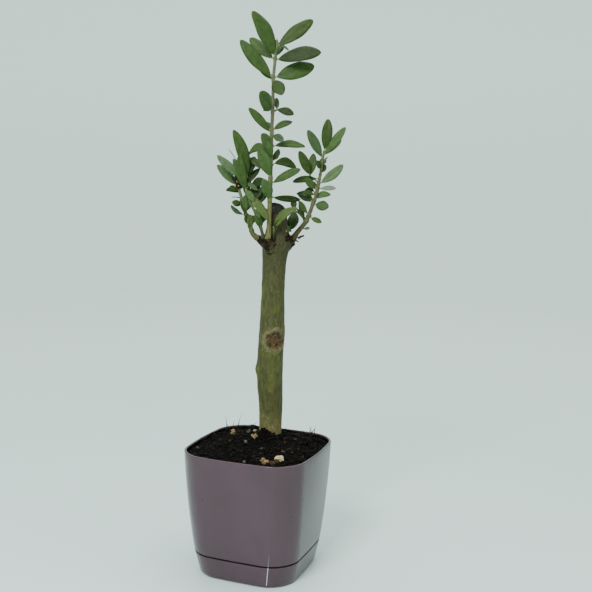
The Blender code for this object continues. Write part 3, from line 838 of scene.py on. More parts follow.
def trunkBody():
    profile = smoothRoute([(middle, width, height) for height, middle, width in trunk["stations"]], 3.0)
    form = ringedCylinder(trunk["around"], trunk["rings"])
    for vert in form.verts:
        share = vert.co.z + 0.5
        height = trunk["foot"] + share * (trunk["cutHeight"] - trunk["foot"])
        station = pointAt(profile, height)
        x = station.x + vert.co.x * station.y / 2
        y = trunk["y"] + vert.co.y * station.y / 2
        vert.co = (x, y, height + share ** 8 * (cutHeightAt(x, y) - trunk["cutHeight"]))
    return form


def remeshed(form, voxel):  # one closed skin round all that overlaps
    item = formObject("rough", form)
    mesh = item.data
    skin = item.modifiers.new("skin", "REMESH")
    skin.mode = "VOXEL"
    skin.voxel_size = voxel
    seen = item.evaluated_get(bpy.context.evaluated_depsgraph_get())
    result = bmesh.new()
    result.from_mesh(seen.to_mesh())
    seen.to_mesh_clear()
    bpy.data.objects.remove(item, do_unlink=True)
    bpy.data.meshes.remove(mesh)
    return result


def smoothStep(low, high, value):
    share = min(1.0, max(0.0, (value - low) / (high - low)))
    return share * share * (3 - 2 * share)


def barkMasks(place, normal):
    # how far a point of the trunk belongs to the scar, its ring, the crust, the saw cut and the foot
    scar = trunk["scar"]
    u, v = place.x - scar["spot"][0], place.z - scar["spot"][1]
    wander = 1 + 0.22 * noise.noise(place * 0.45)
    inner = math.hypot(u / scar["inner"][0], v / scar["inner"][1]) * wander
    outer = math.hypot((u + 1.0) / scar["outer"][0], v / scar["outer"][1]) * wander
    front = smoothStep(0.0, 0.35, -normal.y)
    core = front * (1 - smoothStep(0.75, 1.1, inner))
    ring = front * (1 - smoothStep(0.85, 1.25, outer)) * (1 - core)
    crust = 0.0
    for x, y, z, reach in trunk["crust"]:
        away = (place - Vector((x, y, z))).length / (1.3 * reach) + 0.35 * noise.noise(place * 0.5)
        crust = max(crust, 1 - smoothStep(0.7, 1.15, away))
    above = place.z - cutHeightAt(place.x, place.y)
    cut = smoothStep(-1.4, -0.5, above) * smoothStep(0.2, 0.7, normal.z)
    low, high = trunk["footTone"]
    foot = 1 - smoothStep(low, high, place.z + 9 * noise.noise(place * 0.22) + 0.25 * (place.x - 9))
    return {"core": core, "ring": ring, "crust": crust, "cut": cut, "foot": foot}


def duskAt(place):  # how far the bark is darkened, towards the top and in a band above the scar
    dusk = trunk["dusk"]
    wander = place.z + 14 * noise.noise(place * 0.11)
    band = dusk["bandFull"] * math.exp(-((wander - dusk["band"]) / dusk["bandReach"]) ** 2)
    return smoothStep(dusk["from"], dusk["to"], wander) + band


def noiseAt(place, across, up, shift=0):  # noise scaled across and up, and taken further up by a shift
    return noise.noise(Vector((place.x * across, place.y * across, place.z * up + shift)))


def barkRelief(place, normal, masks):  # how far a point stands out, in mm
    height = sum(high * noiseAt(place, across, up) for high, across, up in trunk["relief"])
    lenticel = trunk["lenticel"]
    dot = noiseAt(place, *lenticel["fine"], lenticel["shift"])
    height += lenticel["height"] * smoothStep(lenticel["from"], lenticel["to"], dot)
    away = place - Vector(trunk["bump"]["spot"])
    away = math.hypot(*(a / r for a, r in zip(away, trunk["bump"]["radius"])))
    height += trunk["bump"]["rise"] * math.exp(-away * away)
    core, ring = masks["core"], masks["ring"]
    height += trunk["scar"]["rise"] * (ring - ring * ring * 0.4) - trunk["scar"]["sink"] * core
    if core + ring > 0.02:
        grain = Vector((place.x * 1.3, 0, place.z * 0.35))
        height += (0.8 * core + 0.25 * ring) * noise.noise(grain) + 0.5 * ring * noise.noise(place * 0.75)
        for x, z, halfWide, halfHigh, depth in trunk["pits"]:
            away = math.hypot((place.x - x) / halfWide, (place.z - z) / halfHigh)
            if normal.y < 0:
                height -= depth * (1 - smoothStep(0.5, 1.3, away))
    if masks["crust"] > 0:
        height += masks["crust"] * (0.9 * noise.noise(place * 0.62) + 0.55 * noise.noise(place * 1.3))
    if masks["cut"] > 0:
        chips = Vector((place.x * 0.55, place.y * 0.3, 9.0))
        height += masks["cut"] * (1.5 * noise.noise(chips) + 0.7 * noise.noise(place * 0.9) - 0.6)
    return height


bark = {
    "streak": ((0.3, "#2f311a"), (0.5, "#3f4222"), (0.7, "#4b4f2d")),
    "mottles": (  # colour, pattern's size in mm, detail, the noise that starts and fills it, and strength
        ("#453a22", (13, 13, 34), 3.0, 0.48, 0.7, 0.65),
        ("#545a20", (9, 9, 21), 3.0, 0.52, 0.66, 0.6),
        ("#6c6e48", (1.5, 1.5, 2.6), 2.0, 0.58, 0.72, 0.4),
    ),
    "masks": {  # darker and lighter colour, and strength
        "dusk": ("#2b2619", "#3f3a27", 0.8),
        "ring": ("#4a442a", "#70694b", 0.85),
        "core": ("#1f150c", "#5b452c", 0.95),
        "foot": ("#574f2d", "#7d744e", 0.78),
        "crust": ("#140e07", "#31250f", 1.0),
        "cut": ("#070604", "#343124", 1.0),
    },
}


def oliveBark():
    # Young olive bark: thin, tight and olive green under a grey bloom, with small lenticels, brown where
    # the branch scar and the burl are, and dark on the old saw cut
    made, tree = newMaterial("olive_bark", **{
        "Roughness": 0.72, "Specular IOR Level": 0.16, "Sheen Weight": 0.03, "Sheen Roughness": 0.4,
    })
    streak = addNoise(tree, (2.4, 2.4, 7), 5.0, 0.6)
    colour = addRamp(tree, streak, *bark["streak"])
    for hexColour, wavelength, detail, low, high, strength in bark["mottles"]:
        share = addRange(tree, addNoise(tree, wavelength, detail), low, high, 0.0, strength)
        colour = addMix(tree, share, colour, linear(hexColour))
    rough = addNoise(tree, (2.2, 2.2, 3.0), 4.0, 0.65)
    for name, (dark, light, strength) in bark["masks"].items():
        mask = addNode(tree, "ShaderNodeAttribute", {"attribute_name": name})
        share = addMath(tree, "MULTIPLY", mask.outputs["Fac"], strength)
        colour = addMix(tree, share, colour, addRamp(tree, rough, (0.36, dark), (0.64, light)))
    return dressed(made, {"Base Color": colour}, (streak, 0.55, 0.25), (rough, 0.4, 0.2))


def makeTrunk():
    whole = trunkBody()
    for foot, tip, footWidth, tipWidth in collars.values():
        def radiusAt(share, angle):
            return (footWidth + (tipWidth - footWidth) * share) / 2 * (1 + 0.1 * math.sin(math.pi * share))
        addForm(whole, tube([Vector(foot), Vector(tip)], radiusAt, 24, 12))
    form = remeshed(whole, trunk["voxel"])
    for turn in range(3):
        bmesh.ops.smooth_vert(
            form, verts=form.verts, factor=0.5, use_axis_x=True, use_axis_y=True, use_axis_z=True,
        )
    form.normal_update()
    layers = {name: form.verts.layers.float.new(name) for name in bark["masks"]}
    moves = []
    for vert in form.verts:
        place, normal = vert.co.copy(), vert.normal.copy()
        masks = barkMasks(place, normal)
        for name, value in masks.items():
            vert[layers[name]] = value
        vert[layers["dusk"]] = duskAt(place)
        moves.append(normal * barkRelief(place, normal, masks))
    for vert, move in zip(form.verts, moves):
        vert.co += move
    surface = BVHTree.FromBMesh(form)
    finishPiece("trunk_bark", form, [oliveBark()], ["trunk"], ofPlant=True)
    return surface


trunkSurface = makeTrunk()
print("trunk made")


# Shoots, in mm of the front view: route, diameters at foot and tip, bark from foot to tip, the height where
# the bough ends, and the masses that grow on from it, each with the height that it ends at and its leaves
def blade(tint, up, reach, width, stalk=None, arch=0.0, roll=0.0):
    # one leaf: height on its stem, reach to the right, up and near the viewer, and width, then the reach of
    # its own twig if it has one, how far its middle stands up, and degrees rolled about its length
    return {
        "tint": tint, "up": up, "reach": reach, "width": width, "stalk": stalk, "arch": arch, "roll": roll,
    }


leader = {
    "name": "leader",
    "collar": "leader",
    "route": (
        (5.8, 18.2, 308), (6.1, 18, 318), (6.2, 18, 330), (6.6, 18, 345), (7.0, 18.4, 363), (7.3, 19, 384),
        (7.6, 19.6, 405), (8.2, 20, 426), (8.3, 20.4, 447), (9.5, 20.6, 463), (10.2, 20.6, 474),
        (11.1, 20.4, 483),
    ),
    "diameters": (4.7, 2.7),
    "bark": ("#6c693d", "#64683f", "#625f4a", "#626c45"),
    "bough": ("bough_leader", 336),
    "masses": (
        ("mass_leader_low", 394, (
            blade("light", 338.5, (-5.6, 20.5, 12), 9.4),
            blade("green", 341, (-5, 12, -15), 7.5),
            blade("deep", 342.5, (28, -2, -9), 6.4, roll=45),
            blade("deep", 345.5, (-13, -9.5, -9), 8.2, arch=3),
            blade("green", 354, (27.5, 14.5, 3), 8.4, arch=1),
            blade("deep", 356.5, (-18, -6.5, -6), 7.8, arch=3),
            blade("light", 359, (-10.8, 27, 13), 10.2),
            blade("dark", 360.5, (-9, 19, -16), 9.0),
            blade("deep", 371.5, (23.5, -2.5, -6), 8.4, arch=3.5),
            blade("dark", 375.5, (8, 9.5, -10), 6.0, roll=70),
            blade("green", 384.5, (-21.5, -3.5, -7), 8.2, arch=4.5),
            blade("light", 384.5, (-8.6, 14.0, 17), 10.8),
            blade("green", 388, (31, 1, -6), 8.0, arch=1.5),
            blade("green", 389.5, (-5, 9, -17), 7.2),
        )),
        ("mass_leader_middle", 438, (
            blade("green", 399.5, (-21, 23, 4), 7.4),
            blade("bluish", 399.5, (11, -6.5, 10), 6.6),
            blade("green", 402, (18.5, 10, -9), 7.4),
            blade("bluish", 402.5, (-8, 9, -15), 6.5),
            blade("deep", 418.5, (16, -4.6, 3), 8.2, stalk=(3.8, 3.2, 0.5)),
            blade("bluish", 418.5, (-1.4, 12.0, -8), 5.0, stalk=(4.4, 3.0, -2.5)),
            blade("green", 420.5, (-11, 14, 22), 14.0),
            blade("green", 421.5, (-8.5, 2, -16), 6.0),
        )),
        ("mass_leader_top", 483, (
            blade("dark", 449, (8.4, -15.5, 11), 11.0),
            blade("green", 447, (-12.8, 19, -19), 7.0),
            blade("green", 449, (-30, 33, 4), 11.2),
            blade("green", 449.5, (37, 12, -4), 14.2),
            blade("green", 465, (-23.5, 22, -14), 10.6),
            blade("deep", 465, (41.5, 7, 6), 15.8, arch=-1.2),
            blade("green", 467, (-20.5, 39, 11), 14.6),
            blade("light", 467.5, (6, 17, -20), 8.0),
            blade("grey", 479, (11, -1.5, -16), 6.5),
            blade("dark", 476.5, (33, 25.5, -5), 12.4, arch=-1.6),
        )),
    ),
}

lowSprout = {
    "name": "low_sprout",
    "collar": None,
    "route": ((10.4, 19.2, 304.8), (10.3, 18.3, 309), (10.2, 17.6, 314.5)),
    "diameters": (1.9, 1.4),
    "bark": ("#37341f", "#3d3e25", "#454a29", "#4c542d"),
    "bough": None,
    "masses": (
        ("mass_low_sprout", 314.5, (
            blade("fresh", 311.5, (22, 22, 5), 7.8, arch=3.6),
            blade("deep", 311, (6.5, 12, 3), 3.6),
        )),
    ),
}

inner = {
    "name": "inner",
    "collar": "inner",
    "route": (
        (0.4, 20.6, 307.5), (-1.4, 19.6, 314), (-4.8, 19, 321.5), (-7.2, 19, 329), (-10.2, 19.4, 335.5),
        (-13.6, 20.4, 343), (-16.2, 21.4, 351), (-17.8, 22, 362),
    ),
    "diameters": (3.2, 1.7),
    "bark": ("#45402a", "#56603a", "#5c683c", "#667442"),
    "bough": ("bough_inner", 312),
    "masses": (
        ("mass_inner", 362, (
            blade("green", 314, (-3, 14, 5), 6.8),
            blade("dark", 315, (2.5, 13.5, -3), 5.5),
            blade("light", 333, (7, -9, 6), 4.0),
            blade("fresh", 346.5, (20, -25, 9), 7.8),
            blade("bluish", 348, (10, -6, -7), 6.4, arch=3),
            blade("light", 350, (8, -11, 6), 6.0),
            blade("green", 352, (4.5, -13, -6), 6.4),
            blade("bluish", 356.5, (12.5, -8, 4), 4.4),
            blade("grey", 357, (-15.5, 29, -12), 7.0, roll=75),
            blade("dark", 359, (10, 5, -7), 6.0),
            blade("deep", 359.5, (9.5, 20, -9), 9.6),
            blade("grey", 358.5, (-25, 21.5, 0), 7.4),
            blade("green", 360, (-12.6, 43.0, 5), 10.4, stalk=(2.8, 0.4, -0.8)),
        )),
    ),
}

left = {
    "name": "left",
    "collar": "left",
    "route": (
        (-6.0, 29.8, 305), (-9.6, 29.6, 308.4), (-11.4, 30, 313.7), (-14.6, 30.4, 322.2),
        (-16.8, 30.8, 328.6), (-19.0, 31, 336.8), (-21.2, 31, 344.8), (-23.4, 30.8, 353),
    ),
    "diameters": (5.0, 2.2),
    "bark": ("#59512f", "#545c36", "#5f6a40", "#6c7450"),
    "bough": ("bough_left", 309.5),
    "masses": (
        ("mass_left", 353, (
            blade("fresh", 311.5, (-1, 15, 7), 5.8),
            blade("green", 315, (3, 10, -12), 6.0),
            blade("bluish", 325.5, (-14.5, 9, -2), 5.4, arch=-2.5, roll=25),
            blade("light", 326, (-1, 18, 6), 6.2),
            blade("light", 327, (3, 14, -12), 6.0),
            blade("dark", 338.5, (-8.5, -3, 4), 5.2),
            blade("green", 340, (5, -2, -12), 5.2),
            blade("deep", 344.5, (-14, 4, -3), 5.2, arch=3),
            blade("bluish", 346.5, (-6, 31, -9), 6.6),
            blade("grey", 351.5, (-19.8, 20, 4), 7.8),
            blade("green", 351.5, (6, 9, -15), 6.5),
        )),
    ),
}

right = {
    "name": "right",
    "collar": "right",
    "route": (
        (31.6, 32.8, 309.4), (35.8, 32.5, 314.6), (41.2, 32.2, 322.2), (46.0, 32, 335.9), (48.2, 32, 341.3),
        (50.0, 32, 348.5), (51.6, 32, 357.5), (53.2, 31.8, 368), (54.4, 31.4, 378), (56.0, 31, 386),
    ),
    "diameters": (5.3, 2.0),
    "bark": ("#4b432a", "#5d5b3d", "#5b5a3c", "#61663f"),
    "bough": ("bough_right", 318),
    "masses": (
        ("mass_right_low", 353, (
            blade("deep", 321.5, (-4.2, -17.5, 3), 9.8, stalk=(-10.8, 8.6, 2.5)),
            blade("dark", 320.5, (-1, 9.5, -3), 5.6, stalk=(-11, 11, -2.5)),
            blade("green", 325, (12.5, -5.4, 3), 5.6),
            blade("green", 326, (-9.5, 13.5, 5), 5.2),
            blade("green", 336.5, (14.8, -2.4, 5), 9.6),
            blade("green", 337, (-5, 6, -13), 5.6),
            blade("light", 339.5, (15.5, 6.5, -3), 6.6, arch=2.5),
            blade("bluish", 340, (-17, 6, -5), 5.4, arch=2.5),
            blade("deep", 346, (-12, 2, -6), 4.8, arch=2.5),
            blade("green", 348, (-4.5, 10, -11), 5.4),
            blade("pale", 350.5, (17.5, 1, -6), 4.4, roll=35),
        )),
        ("mass_right_top", 386, (
            blade("dark", 356, (-9.8, 22, 5), 8.2, stalk=(-9, 7.5, 2)),
            blade("green", 356.5, (3.2, 21.5, -4), 7.6, stalk=(-8.4, 6, -1)),
            blade("grey", 355, (22.8, 18.6, -4), 8.4, arch=-1.2),
            blade("dark", 360, (-25, -3, -8), 6.0, arch=1.5),
            blade("dark", 368.5, (-4, 8, 10), 5.2),
            blade("deep", 364, (4.6, 9.5, -3), 5.2),
            blade("green", 371.5, (2, 8, -14), 6.2),
            blade("bluish", 378.5, (-14.3, 26, 4), 8.2),
            blade("grey", 381, (17, 16, -9), 6.4),
            blade("light", 381.5, (20, 26, 3), 8.0),
            blade("dark", 385, (3.2, 30, 0), 9.4),
        )),
    ),
}

shoots = (leader, lowSprout, inner, left, right)

leafHabit = {
    "seed": 12,
    "twist": 0.22,  # radians, the most either way
    "rows": 13,
    "columns": 8,
    "thick": 0.36,
    "widen": 1.1,
    "ribDepth": 0.14,
    "fold": 0.16,
    "bow": 0.05,
    "curl": 0.13,  # how far the edges roll back, as a share of the half width
    "wave": 0.06,
    "lean": 0.25,  # radians that the blade may turn about its own length
    "pull": 0.05,  # and how far it may bend to one side, as a share of its length
    "ribShare": 2.1,  # how close the middle columns draw to the midrib
    "ribWidth": 0.4,
    "petiole": 0.6,  # its half thickness
    "petioleLength": (0.2, 0.025, 1.3),  # at least, more for each mm of leaf, and at most
    "petioleMost": 0.25,  # and as a share of the leaf, from the stem's middle
    "facing": (0, -1, 0.45),
    # each tint is partly the leaf's own colour and partly painted light: deep and dark stand in for leaves
    # in shade, light and pale for leaves catching the light
    "tints": {
        "deep": "#1d2b0b",
        "dark": "#293914",
        "green": "#31441d",
        "light": "#3d5129",
        "bluish": "#35482b",
        "grey": "#485a3a",
        "fresh": "#455227",
        "pale": "#788470",
    },
    "under": "#6f8160",
    "ribPale": "#5a7040",
    "stalk": "#7f8650",
    "mottle": ("#1a2c12", "#86a052"),  # what each tint is darkened and lightened towards
}
tintNames = list(leafHabit["tints"])  # a leafy piece's materials: these, then underside, midrib and petiole
underSlot = len(tintNames)
ribSlot = underSlot + 1
stalkSlot = underSlot + 2


def leafSkin(name, colour, roughness=0.5, mottle=0.16):
    # A living olive leaf: leathery, smooth above with a waxy sheen, and finely mottled
    made, tree = newMaterial(name, **{
        "Roughness": roughness, "Specular IOR Level": 0.13, "Sheen Weight": 0.02, "Sheen Roughness": 0.4,
    })
    deeper, lighter = leafHabit["mottle"]
    tone = addRamp(
        tree, addNoise(tree, (3.5, 3.5, 3.5), 4.0, 0.6),
        (0.35, blended(colour, deeper, mottle)), (0.65, blended(colour, lighter, mottle * 0.6)),
    )
    pores = addNoise(tree, (0.9, 0.9, 0.9), 3.0)
    return dressed(made, {"Base Color": tone}, (pores, 0.25, 0.12))


def leafSkins():
    skins = [leafSkin(f"olive_leaf_{name}", colour) for name, colour in leafHabit["tints"].items()]
    skins.append(leafSkin("olive_leaf_underside", leafHabit["under"], roughness=0.62, mottle=0.1))
    skins.append(leafSkin("olive_leaf_midrib", leafHabit["ribPale"], roughness=0.5, mottle=0.08))
    skins.append(leafSkin("olive_petiole", leafHabit["stalk"], roughness=0.5, mottle=0.12))
    return skins


def leafOutline(t):  # half width of a blade as a share of its greatest, from stalk to blunt tip
    return math.sin(math.pi * min(max(t, 0.0), 1.0) ** 1.05) ** (0.68 - 0.14 * t)


def reachOf(spec):
    side, rise, near = spec["reach"]
    return Vector((side, -near, rise))


def leafGrid(tint):  # two grids, at heights -1 and 1, joined round their edges, with the materials set
    form = bmesh.new()
    columns = leafHabit["columns"]
    for level in (-1, 1):  # the under side, then the upper one
        bmesh.ops.create_grid(
            form, x_segments=leafHabit["rows"], y_segments=columns, size=1,
            matrix=Matrix.Translation((0, 0, level)),
        )
        if level < 0:
            bmesh.ops.reverse_faces(form, faces=form.faces)
    bmesh.ops.bridge_loops(form, edges=[edge for edge in form.edges if edge.is_boundary])
    for face in form.faces:
        middle = face.calc_center_median()
        if abs(middle.y) < 1 / columns:
            face.material_index = ribSlot
        else:
            face.material_index = underSlot if middle.z < -0.5 else tintNames.index(tint)
    return form


def leafForm(base, spec, twist, stemRadius, rng):
    # a thin folded blade from a grid, drawn out from stalk to tip, with its midrib and petiole
    reach = reachOf(spec)
    length = reach.length
    along = reach.normalized()
    facing = Vector(leafHabit["facing"])
    face = (facing - along * facing.dot(along)).normalized()
    face = Matrix.Rotation(math.radians(spec["roll"]) + twist, 3, along) @ face
    across = along.cross(face)
    upward = Vector((0, 0, 1))
    upward = (upward - along * upward.dot(along)).normalized()
    least, growth, most = leafHabit["petioleLength"]
    start = min(leafHabit["petioleMost"], (stemRadius + min(most, least + growth * length)) / length)
    wavePhase, waveCount = rng.uniform(0, 6.28), rng.uniform(1.2, 2.6)
    lean = rng.uniform(-leafHabit["lean"], leafHabit["lean"])
    pull = rng.uniform(-leafHabit["pull"], leafHabit["pull"])

    def middleAt(t):
        bend = upward * spec["arch"] + face * leafHabit["bow"] * length + across * pull * length
        return base + reach * t + bend * 4 * t * (1 - t)

    form = leafGrid(spec["tint"])
    for vert in form.verts:
        s = (vert.co.x + 1) / 2
        s = 0.25 * s + 0.375 * (1 - math.cos(math.pi * s))  # more rows near stalk and tip
        y = math.copysign(abs(vert.co.y) ** leafHabit["ribShare"], vert.co.y)
        t = start + (1 - start) * s
        half = spec["width"] * leafHabit["widen"] / 2 * leafOutline(s)
        half = max(half, leafHabit["petiole"] * (1 - 2 * s), 0.05)
        turn = lean * (s - 0.3)
        acrossHere = across * math.cos(turn) + face * math.sin(turn)
        faceHere = face * math.cos(turn) - across * math.sin(turn)
        lift = leafHabit["fold"] * half * abs(y) - leafHabit["curl"] * half * y ** 6
        ripple = math.sin(wavePhase + waveCount * 6.28 * s + (y > 0) * 1.9)
        lift += leafHabit["wave"] * half * y * y * ripple
        lift -= leafHabit["ribDepth"] * math.exp(-((y * half / leafHabit["ribWidth"]) ** 2))  # sunk midrib
        lift += vert.co.z * leafHabit["thick"] / 2 * (1 - 0.6 * y * y)
        vert.co = middleAt(t) + acrossHere * y * half + faceHere * lift
    if form.calc_volume(signed=True) < 0:
        bmesh.ops.reverse_faces(form, faces=form.faces)
    stalkEnd = [middleAt(start * share) for share in (0.0, 0.35, 0.7, 1.0)]
    stalkEnd.append(middleAt(start + 0.03))
    thick = leafHabit["petiole"]
    addForm(form, tube(stalkEnd, lambda share, angle: thick * (1.15 - 0.45 * share), 6, 5), stalkSlot)
    return form


def budForm(base, along, size, rng):  # a small pointed bud of two scales
    form = bmesh.new()
    bmesh.ops.create_uvsphere(form, u_segments=8, v_segments=6, radius=1)
    side = along.orthogonal().normalized()
    other = along.cross(side)
    spin = rng.uniform(0, 6.28)
    for vert in form.verts:
        t = (vert.co.z + 1) / 2
        thin = math.sqrt(max(0.0, 1 - vert.co.z ** 2))
        angle = math.atan2(vert.co.y, vert.co.x) + spin
        radius = size * 0.38 * thin * (1.25 - 0.7 * t) * (1 + 0.18 * math.cos(2 * angle))
        flat = side * math.cos(angle) + other * math.sin(angle)
        vert.co = base + along * size * 1.5 * t + flat * (radius if thin > 0.01 else 0)
    return form


def youngBark(name, *tones):
    # Bark of this year's shoots: thin and matt, grey-beige where it has ripened and green towards the tip
    made, tree = newMaterial(name, **{"Roughness": 0.66, "Specular IOR Level": 0.2})
    young = addNode(tree, "ShaderNodeAttribute", {"attribute_name": "young"})
    ripe = addRamp(tree, young.outputs["Fac"], *zip((0.0, 0.3, 0.62, 1.0), tones))
    streak = addNoise(tree, (1.1, 1.1, 5), 4.0, 0.6)
    shade = addRamp(tree, streak, (0.3, "#8f8f8f"), (0.7, "#ffffff"))
    tone = addMix(tree, 0.8, ripe, shade, "MULTIPLY")
    return dressed(made, {"Base Color": tone}, (streak, 0.5, 0.15))


stemHabit = {
    "swell": 0.24,  # at each leaf, as a share of the radius
    "swellReach": 1.1,
    "flare": 0.35,  # at the foot
    "flareReach": 2.2,
    "taper": 0.65,  # how soon it grows thin from its foot
    "uneven": 0.05,
    "sunk": (3.5, 1.5),  # mm of the first two points back into its collar
    "bridge": 0.8,  # mm of the next one beyond the collar's end
    "around": 14,
    "ringStep": 0.9,
}


def collarEnd(shoot):  # where a shoot's collar ends, and the way it points
    foot, tip = (Vector(point) for point in collars[shoot["collar"]][:2])
    return tip, (tip - foot).normalized()


def shootStem(shoot, line):  # the whole stem of a shoot, swollen where its leaves stand
    habit = stemHabit
    foot, tip = shoot["diameters"]
    bottom, top = line[0].z, line[-1].z
    leafHeights = {spec["up"] for name, high, leaves in shoot["masses"] for spec in leaves}

    def radiusAtHeight(height):
        radius = (foot + (tip - foot) * ((height - bottom) / (top - bottom)) ** habit["taper"]) / 2
        swell = max(math.exp(-((height - up) / habit["swellReach"]) ** 2) for up in leafHeights)
        return radius * (1 + habit["swell"] * swell)

    if shoot["collar"]:
        end, way = collarEnd(shoot)
        line = [*(end - way * depth for depth in habit["sunk"]), *line]
    else:
        line = [line[0] + Vector((0, 2.5, -1.5)), *line]
    length = sum((b - a).length for a, b in zip(line, line[1:]))
    rings = round(length / habit["ringStep"])
    heights = [place.z for place in evenPlaces(line, rings)]

    def radiusAt(share, angle):
        height = heights[round(share * rings)]
        spot = Vector((math.cos(angle) * 2, math.sin(angle) * 2, height * 0.4))
        more = habit["uneven"] * noise.noise(spot)
        if shoot["collar"]:
            more += habit["flare"] * math.exp(-max(0.0, height - bottom) / habit["flareReach"])
        return radiusAtHeight(max(height, bottom)) * (1 + more)

    form = tube(line, radiusAt, habit["around"], rings)
    young = form.verts.layers.float.new("young")
    for vert in form.verts:
        vert[young] = min(1.0, max(0.0, (vert.co.z - bottom) / (top - bottom)))
    return form, radiusAtHeight


# Small things that only the looks have, in the front view
extras = {
    "leaves": {
        "mass_inner": (
            blade("green", 347.0, (-6.4, 33.5, 6), 8.8),
            blade("deep", 352.0, (13.0, 17.0, -8), 7.0),
            blade("deep", 345.5, (-2.1, 23.5, -6), 7.4),
            blade("deep", 336.0, (11.3, 16.7, -3), 5.7),
            blade("deep", 339.5, (10.7, 19.7, -9), 4.9),
            blade("deep", 334.0, (13.2, 11.4, -5), 6.6),
            blade("dark", 312.5, (-5.2, 16.0, 5), 7.0),
            blade("dark", 315.5, (5.0, 17.1, -4), 5.7),
            blade("dark", 341.0, (-3.0, 17.0, -9), 6.4),
        ),
        "mass_left": (
            blade("bluish", 352.0, (-5.6, 25.7, -6), 4.1),
            blade("dark", 346.0, (-9.4, 6.3, 3), 4.6),
            blade("green", 324.5, (-5.4, 15.9, 5), 4.9),
            blade("green", 314.0, (-4.1, 13.6, 4), 6.6),
            blade("dark", 335.0, (-10.4, 2.5, 3), 5.7),
            blade("deep", 347.5, (6.0, 12.0, -8), 5.6),
        ),
        "mass_leader_low": (
            blade("dark", 373.5, (7.0, 13.1, -5), 4.6),
            blade("light", 375.0, (-3.6, 18.5, 12), 8.2),
            blade("dark", 365.5, (-20.4, 12.6, -8), 7.4),
            blade("deep", 348.5, (-10.0, 2.5, -14), 6.4),
            blade("dark", 366.0, (-8.0, 4.0, -15), 7.0),
        ),
        "mass_right_low": (
            blade("deep", 318.5, (-7.7, 13.5, -3), 3.4, arch=2),
            blade("green", 349.9, (-11.8, 10.8, 5), 6.6),
            blade("deep", 337.4, (-14.8, 9.8, -4), 5.7),
            blade("dark", 320.5, (-6.4, 18.4, -4), 4.1),
            blade("dark", 344.4, (-11.6, 3.8, 4), 4.9),
        ),
    },
    "leaflets": (  # foot, reach to the right, up and near, width, tint
        ((22.0, 21.5, 311.5), (3.6, 4.4, 1.5), 3.4, "dark"),
        ((24.0, 21.8, 314.0), (2.4, -3.0, 2.0), 2.8, "green"),
        ((38.0, 32.6, 313.6), (6.0, 0.9, 2.5), 3.0, "grey"),
        ((-24.0, 30.6, 353.2), (-3.0, 3.2, 2.0), 1.6, "grey"),
        ((56.4, 30.8, 378.0), (3.0, 1.6, 3.0), 1.8, "fresh"),
    ),
    "stubs": (  # foot, tip and thickness of dry twigs
        ((33.0, 32.8, 304.6), (38.6, 31.8, 307.2), 1.25),
        ((-20.6, 31.0, 341.4), (-29.4, 30.2, 342.0), 0.5),
        ((29.6, 30.2, 303.0), (33.2, 28.6, 301.4), 0.8),
        ((-22.4, 30.8, 350.5), (-29.6, 29.0, 361.0), 1.9),
    ),
    "burr": {"spot": (-23.8, 30.2, 354.2), "reach": 3.8, "count": 34},  # on the left shoot's tip
    "twig": (0.62, 0.1),  # radius of a leaf's own twig at its foot, and what it loses to its tip
    "tipBud": 1.7,
    "budSeed": 21,
}


def growLeaf(whole, line, spec, twist, stemRadius, rng):
    # puts one leaf, and its own twig where it has one, into a mass, and tells where its bud sits and points
    base = pointAt(line, spec["up"])
    ahead = reachOf(spec).normalized()
    if spec["stalk"]:
        across, up, forward = spec["stalk"]
        end = base + Vector((across, -forward, up))
        middle = base.lerp(end, 0.5) + Vector((0, 0, 0.25))
        thick, taper = extras["twig"]
        twig = tube([base, middle, end], lambda share, angle: thick - taper * share, 8, 10)
        addForm(whole, twig, tintNames.index("dark"))
        base = end - ahead * 0.4
        stemRadius = 0.4
    addForm(whole, leafForm(base, spec, twist, stemRadius, rng))
    seat = base + ahead * stemRadius * 0.9 + Vector((0, 0, 0.45))
    return seat, (ahead + Vector((0, 0, 1.6))).normalized()


def makeBurr(dry, buds, rng):  # a knot of buds and scars where the left shoot was nipped off
    burr = extras["burr"]
    for number in range(burr["count"]):
        way = Vector((rng.gauss(0, 1), rng.gauss(0, 1), rng.gauss(0, 1))).normalized()
        spot = Vector(burr["spot"]) + way * burr["reach"] * rng.uniform(0.3, 1.0)
        if number % 2:
            aim = (way + Vector((0, 0, 0.6))).normalized()
            addForm(buds, budForm(spot, aim, rng.uniform(1.1, 1.8), rng))
        else:
            part = lump(rng, rng.uniform(1.0, 2.0), detail=1, rough=0.5)
            bmesh.ops.translate(part, vec=spot, verts=part.verts)
            addForm(dry, part)


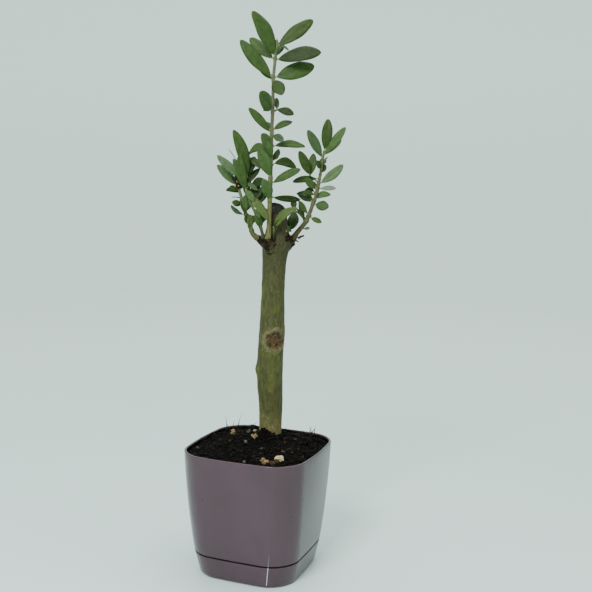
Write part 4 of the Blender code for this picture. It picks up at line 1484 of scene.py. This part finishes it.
def makeShoots():
    skins = leafSkins()
    twist = leafHabit["twist"]
    twistRng = random.Random(leafHabit["seed"])  # the frame's own draw, one twist a leaf
    rng = random.Random(leafHabit["seed"] + 1)
    budRng = random.Random(extras["budSeed"])
    buds = bmesh.new()
    for shoot in shoots:
        line = smoothRoute(shoot["route"])
        if shoot["collar"]:
            end, way = collarEnd(shoot)
            line = [end + way * stemHabit["bridge"], *line]
        stem, radiusAtHeight = shootStem(shoot, line)
        stemBark = youngBark(f"shoot_bark_{shoot['name']}", *shoot["bark"])
        nodes = [shoot["bough"][0]] if shoot["bough"] else []
        finishPiece(f"shoot_{shoot['name']}", stem, [stemBark], nodes, ofPlant=True)
        for massName, high, leaves in shoot["masses"]:
            whole = bmesh.new()
            more = extras["leaves"].get(massName, ())
            for number, spec in enumerate((*leaves, *more)):
                turn = (twistRng if number < len(leaves) else rng).uniform(-twist, twist)
                seat, aim = growLeaf(whole, line, spec, turn, radiusAtHeight(spec["up"]), rng)
                addForm(buds, budForm(seat, aim, budRng.uniform(1.0, 1.8), budRng))
            if high == shoot["masses"][-1][1]:  # a bud at the shoot's tip
                ahead = (line[-1] - line[-2]).normalized()
                addForm(buds, budForm(line[-1] - ahead * 0.6, ahead, extras["tipBud"], budRng))
            finishPiece(f"leaves_{massName[5:]}", whole, skins, [massName], ofPlant=True)
    makeSmallParts(skins, buds, rng, budRng)


def makeSmallParts(skins, buds, rng, budRng):  # leaflets, dry twigs, the burr and the buds of all shoots
    small = bmesh.new()
    for foot, reach, width, tint in extras["leaflets"]:
        addForm(small, leafForm(Vector(foot), blade(tint, 0, reach, width), 0.0, 0.2, rng))
    finishPiece("small_leaves", small, skins, ofPlant=True)
    dry = bmesh.new()
    for foot, tip, thick in extras["stubs"]:
        foot, tip = Vector(foot), Vector(tip)
        middle = foot.lerp(tip, 0.5) + Vector((0, 0, 0.4))
        addForm(dry, tube([foot, middle, tip], lambda share, angle: thick * (1.1 - 0.4 * share), 8, 8))
    makeBurr(dry, buds, budRng)
    wood = plainCrumb("dry_twig", "#47392a", "#231a12")
    finishPiece("dry_stubs", dry, [wood], ofPlant=True)
    scales = leafSkin("bud_scale", "#8a7f56", roughness=0.6, mottle=0.2)
    finishPiece("buds", buds, [scales], ofPlant=True)


makeShoots()
print("shoots and leaves made")


def makeCrust():  # rough flakes of dead bark round the feet of the shoots
    rng = random.Random(trunk["seed"])
    flakes = bmesh.new()
    for x, y, z, reach in trunk["crust"]:
        for number in range(round(reach * trunk["flakes"])):
            wander = Vector((rng.gauss(0, 1), rng.gauss(0, 1), rng.gauss(0, 1))) * reach * 0.42
            spot, normal = trunkSurface.find_nearest(Vector((x, y, z)) + wander)[:2]
            size = rng.uniform(*trunk["flakeSize"])
            part = lump(rng, size, detail=2, rough=0.6, flatness=0.6)
            aim = normal.to_track_quat("Z", "Y").to_matrix().to_4x4()
            place = Matrix.Translation(spot + normal * size * 0.1) @ aim
            bmesh.ops.transform(part, matrix=place, verts=part.verts)
            addForm(flakes, part, rng.choices((0, 1), trunk["flakeMix"])[0])
    tones = [
        plainCrumb("burl_crust", "#20170d", "#100a05"),
        plainCrumb("burl_rust", "#352713", "#1c140a"),
    ]
    finishPiece("trunk_crust", flakes, tones, ofPlant=True, sharp=50)


makeCrust()
print("crust made")

bpy.context.view_layer.update()
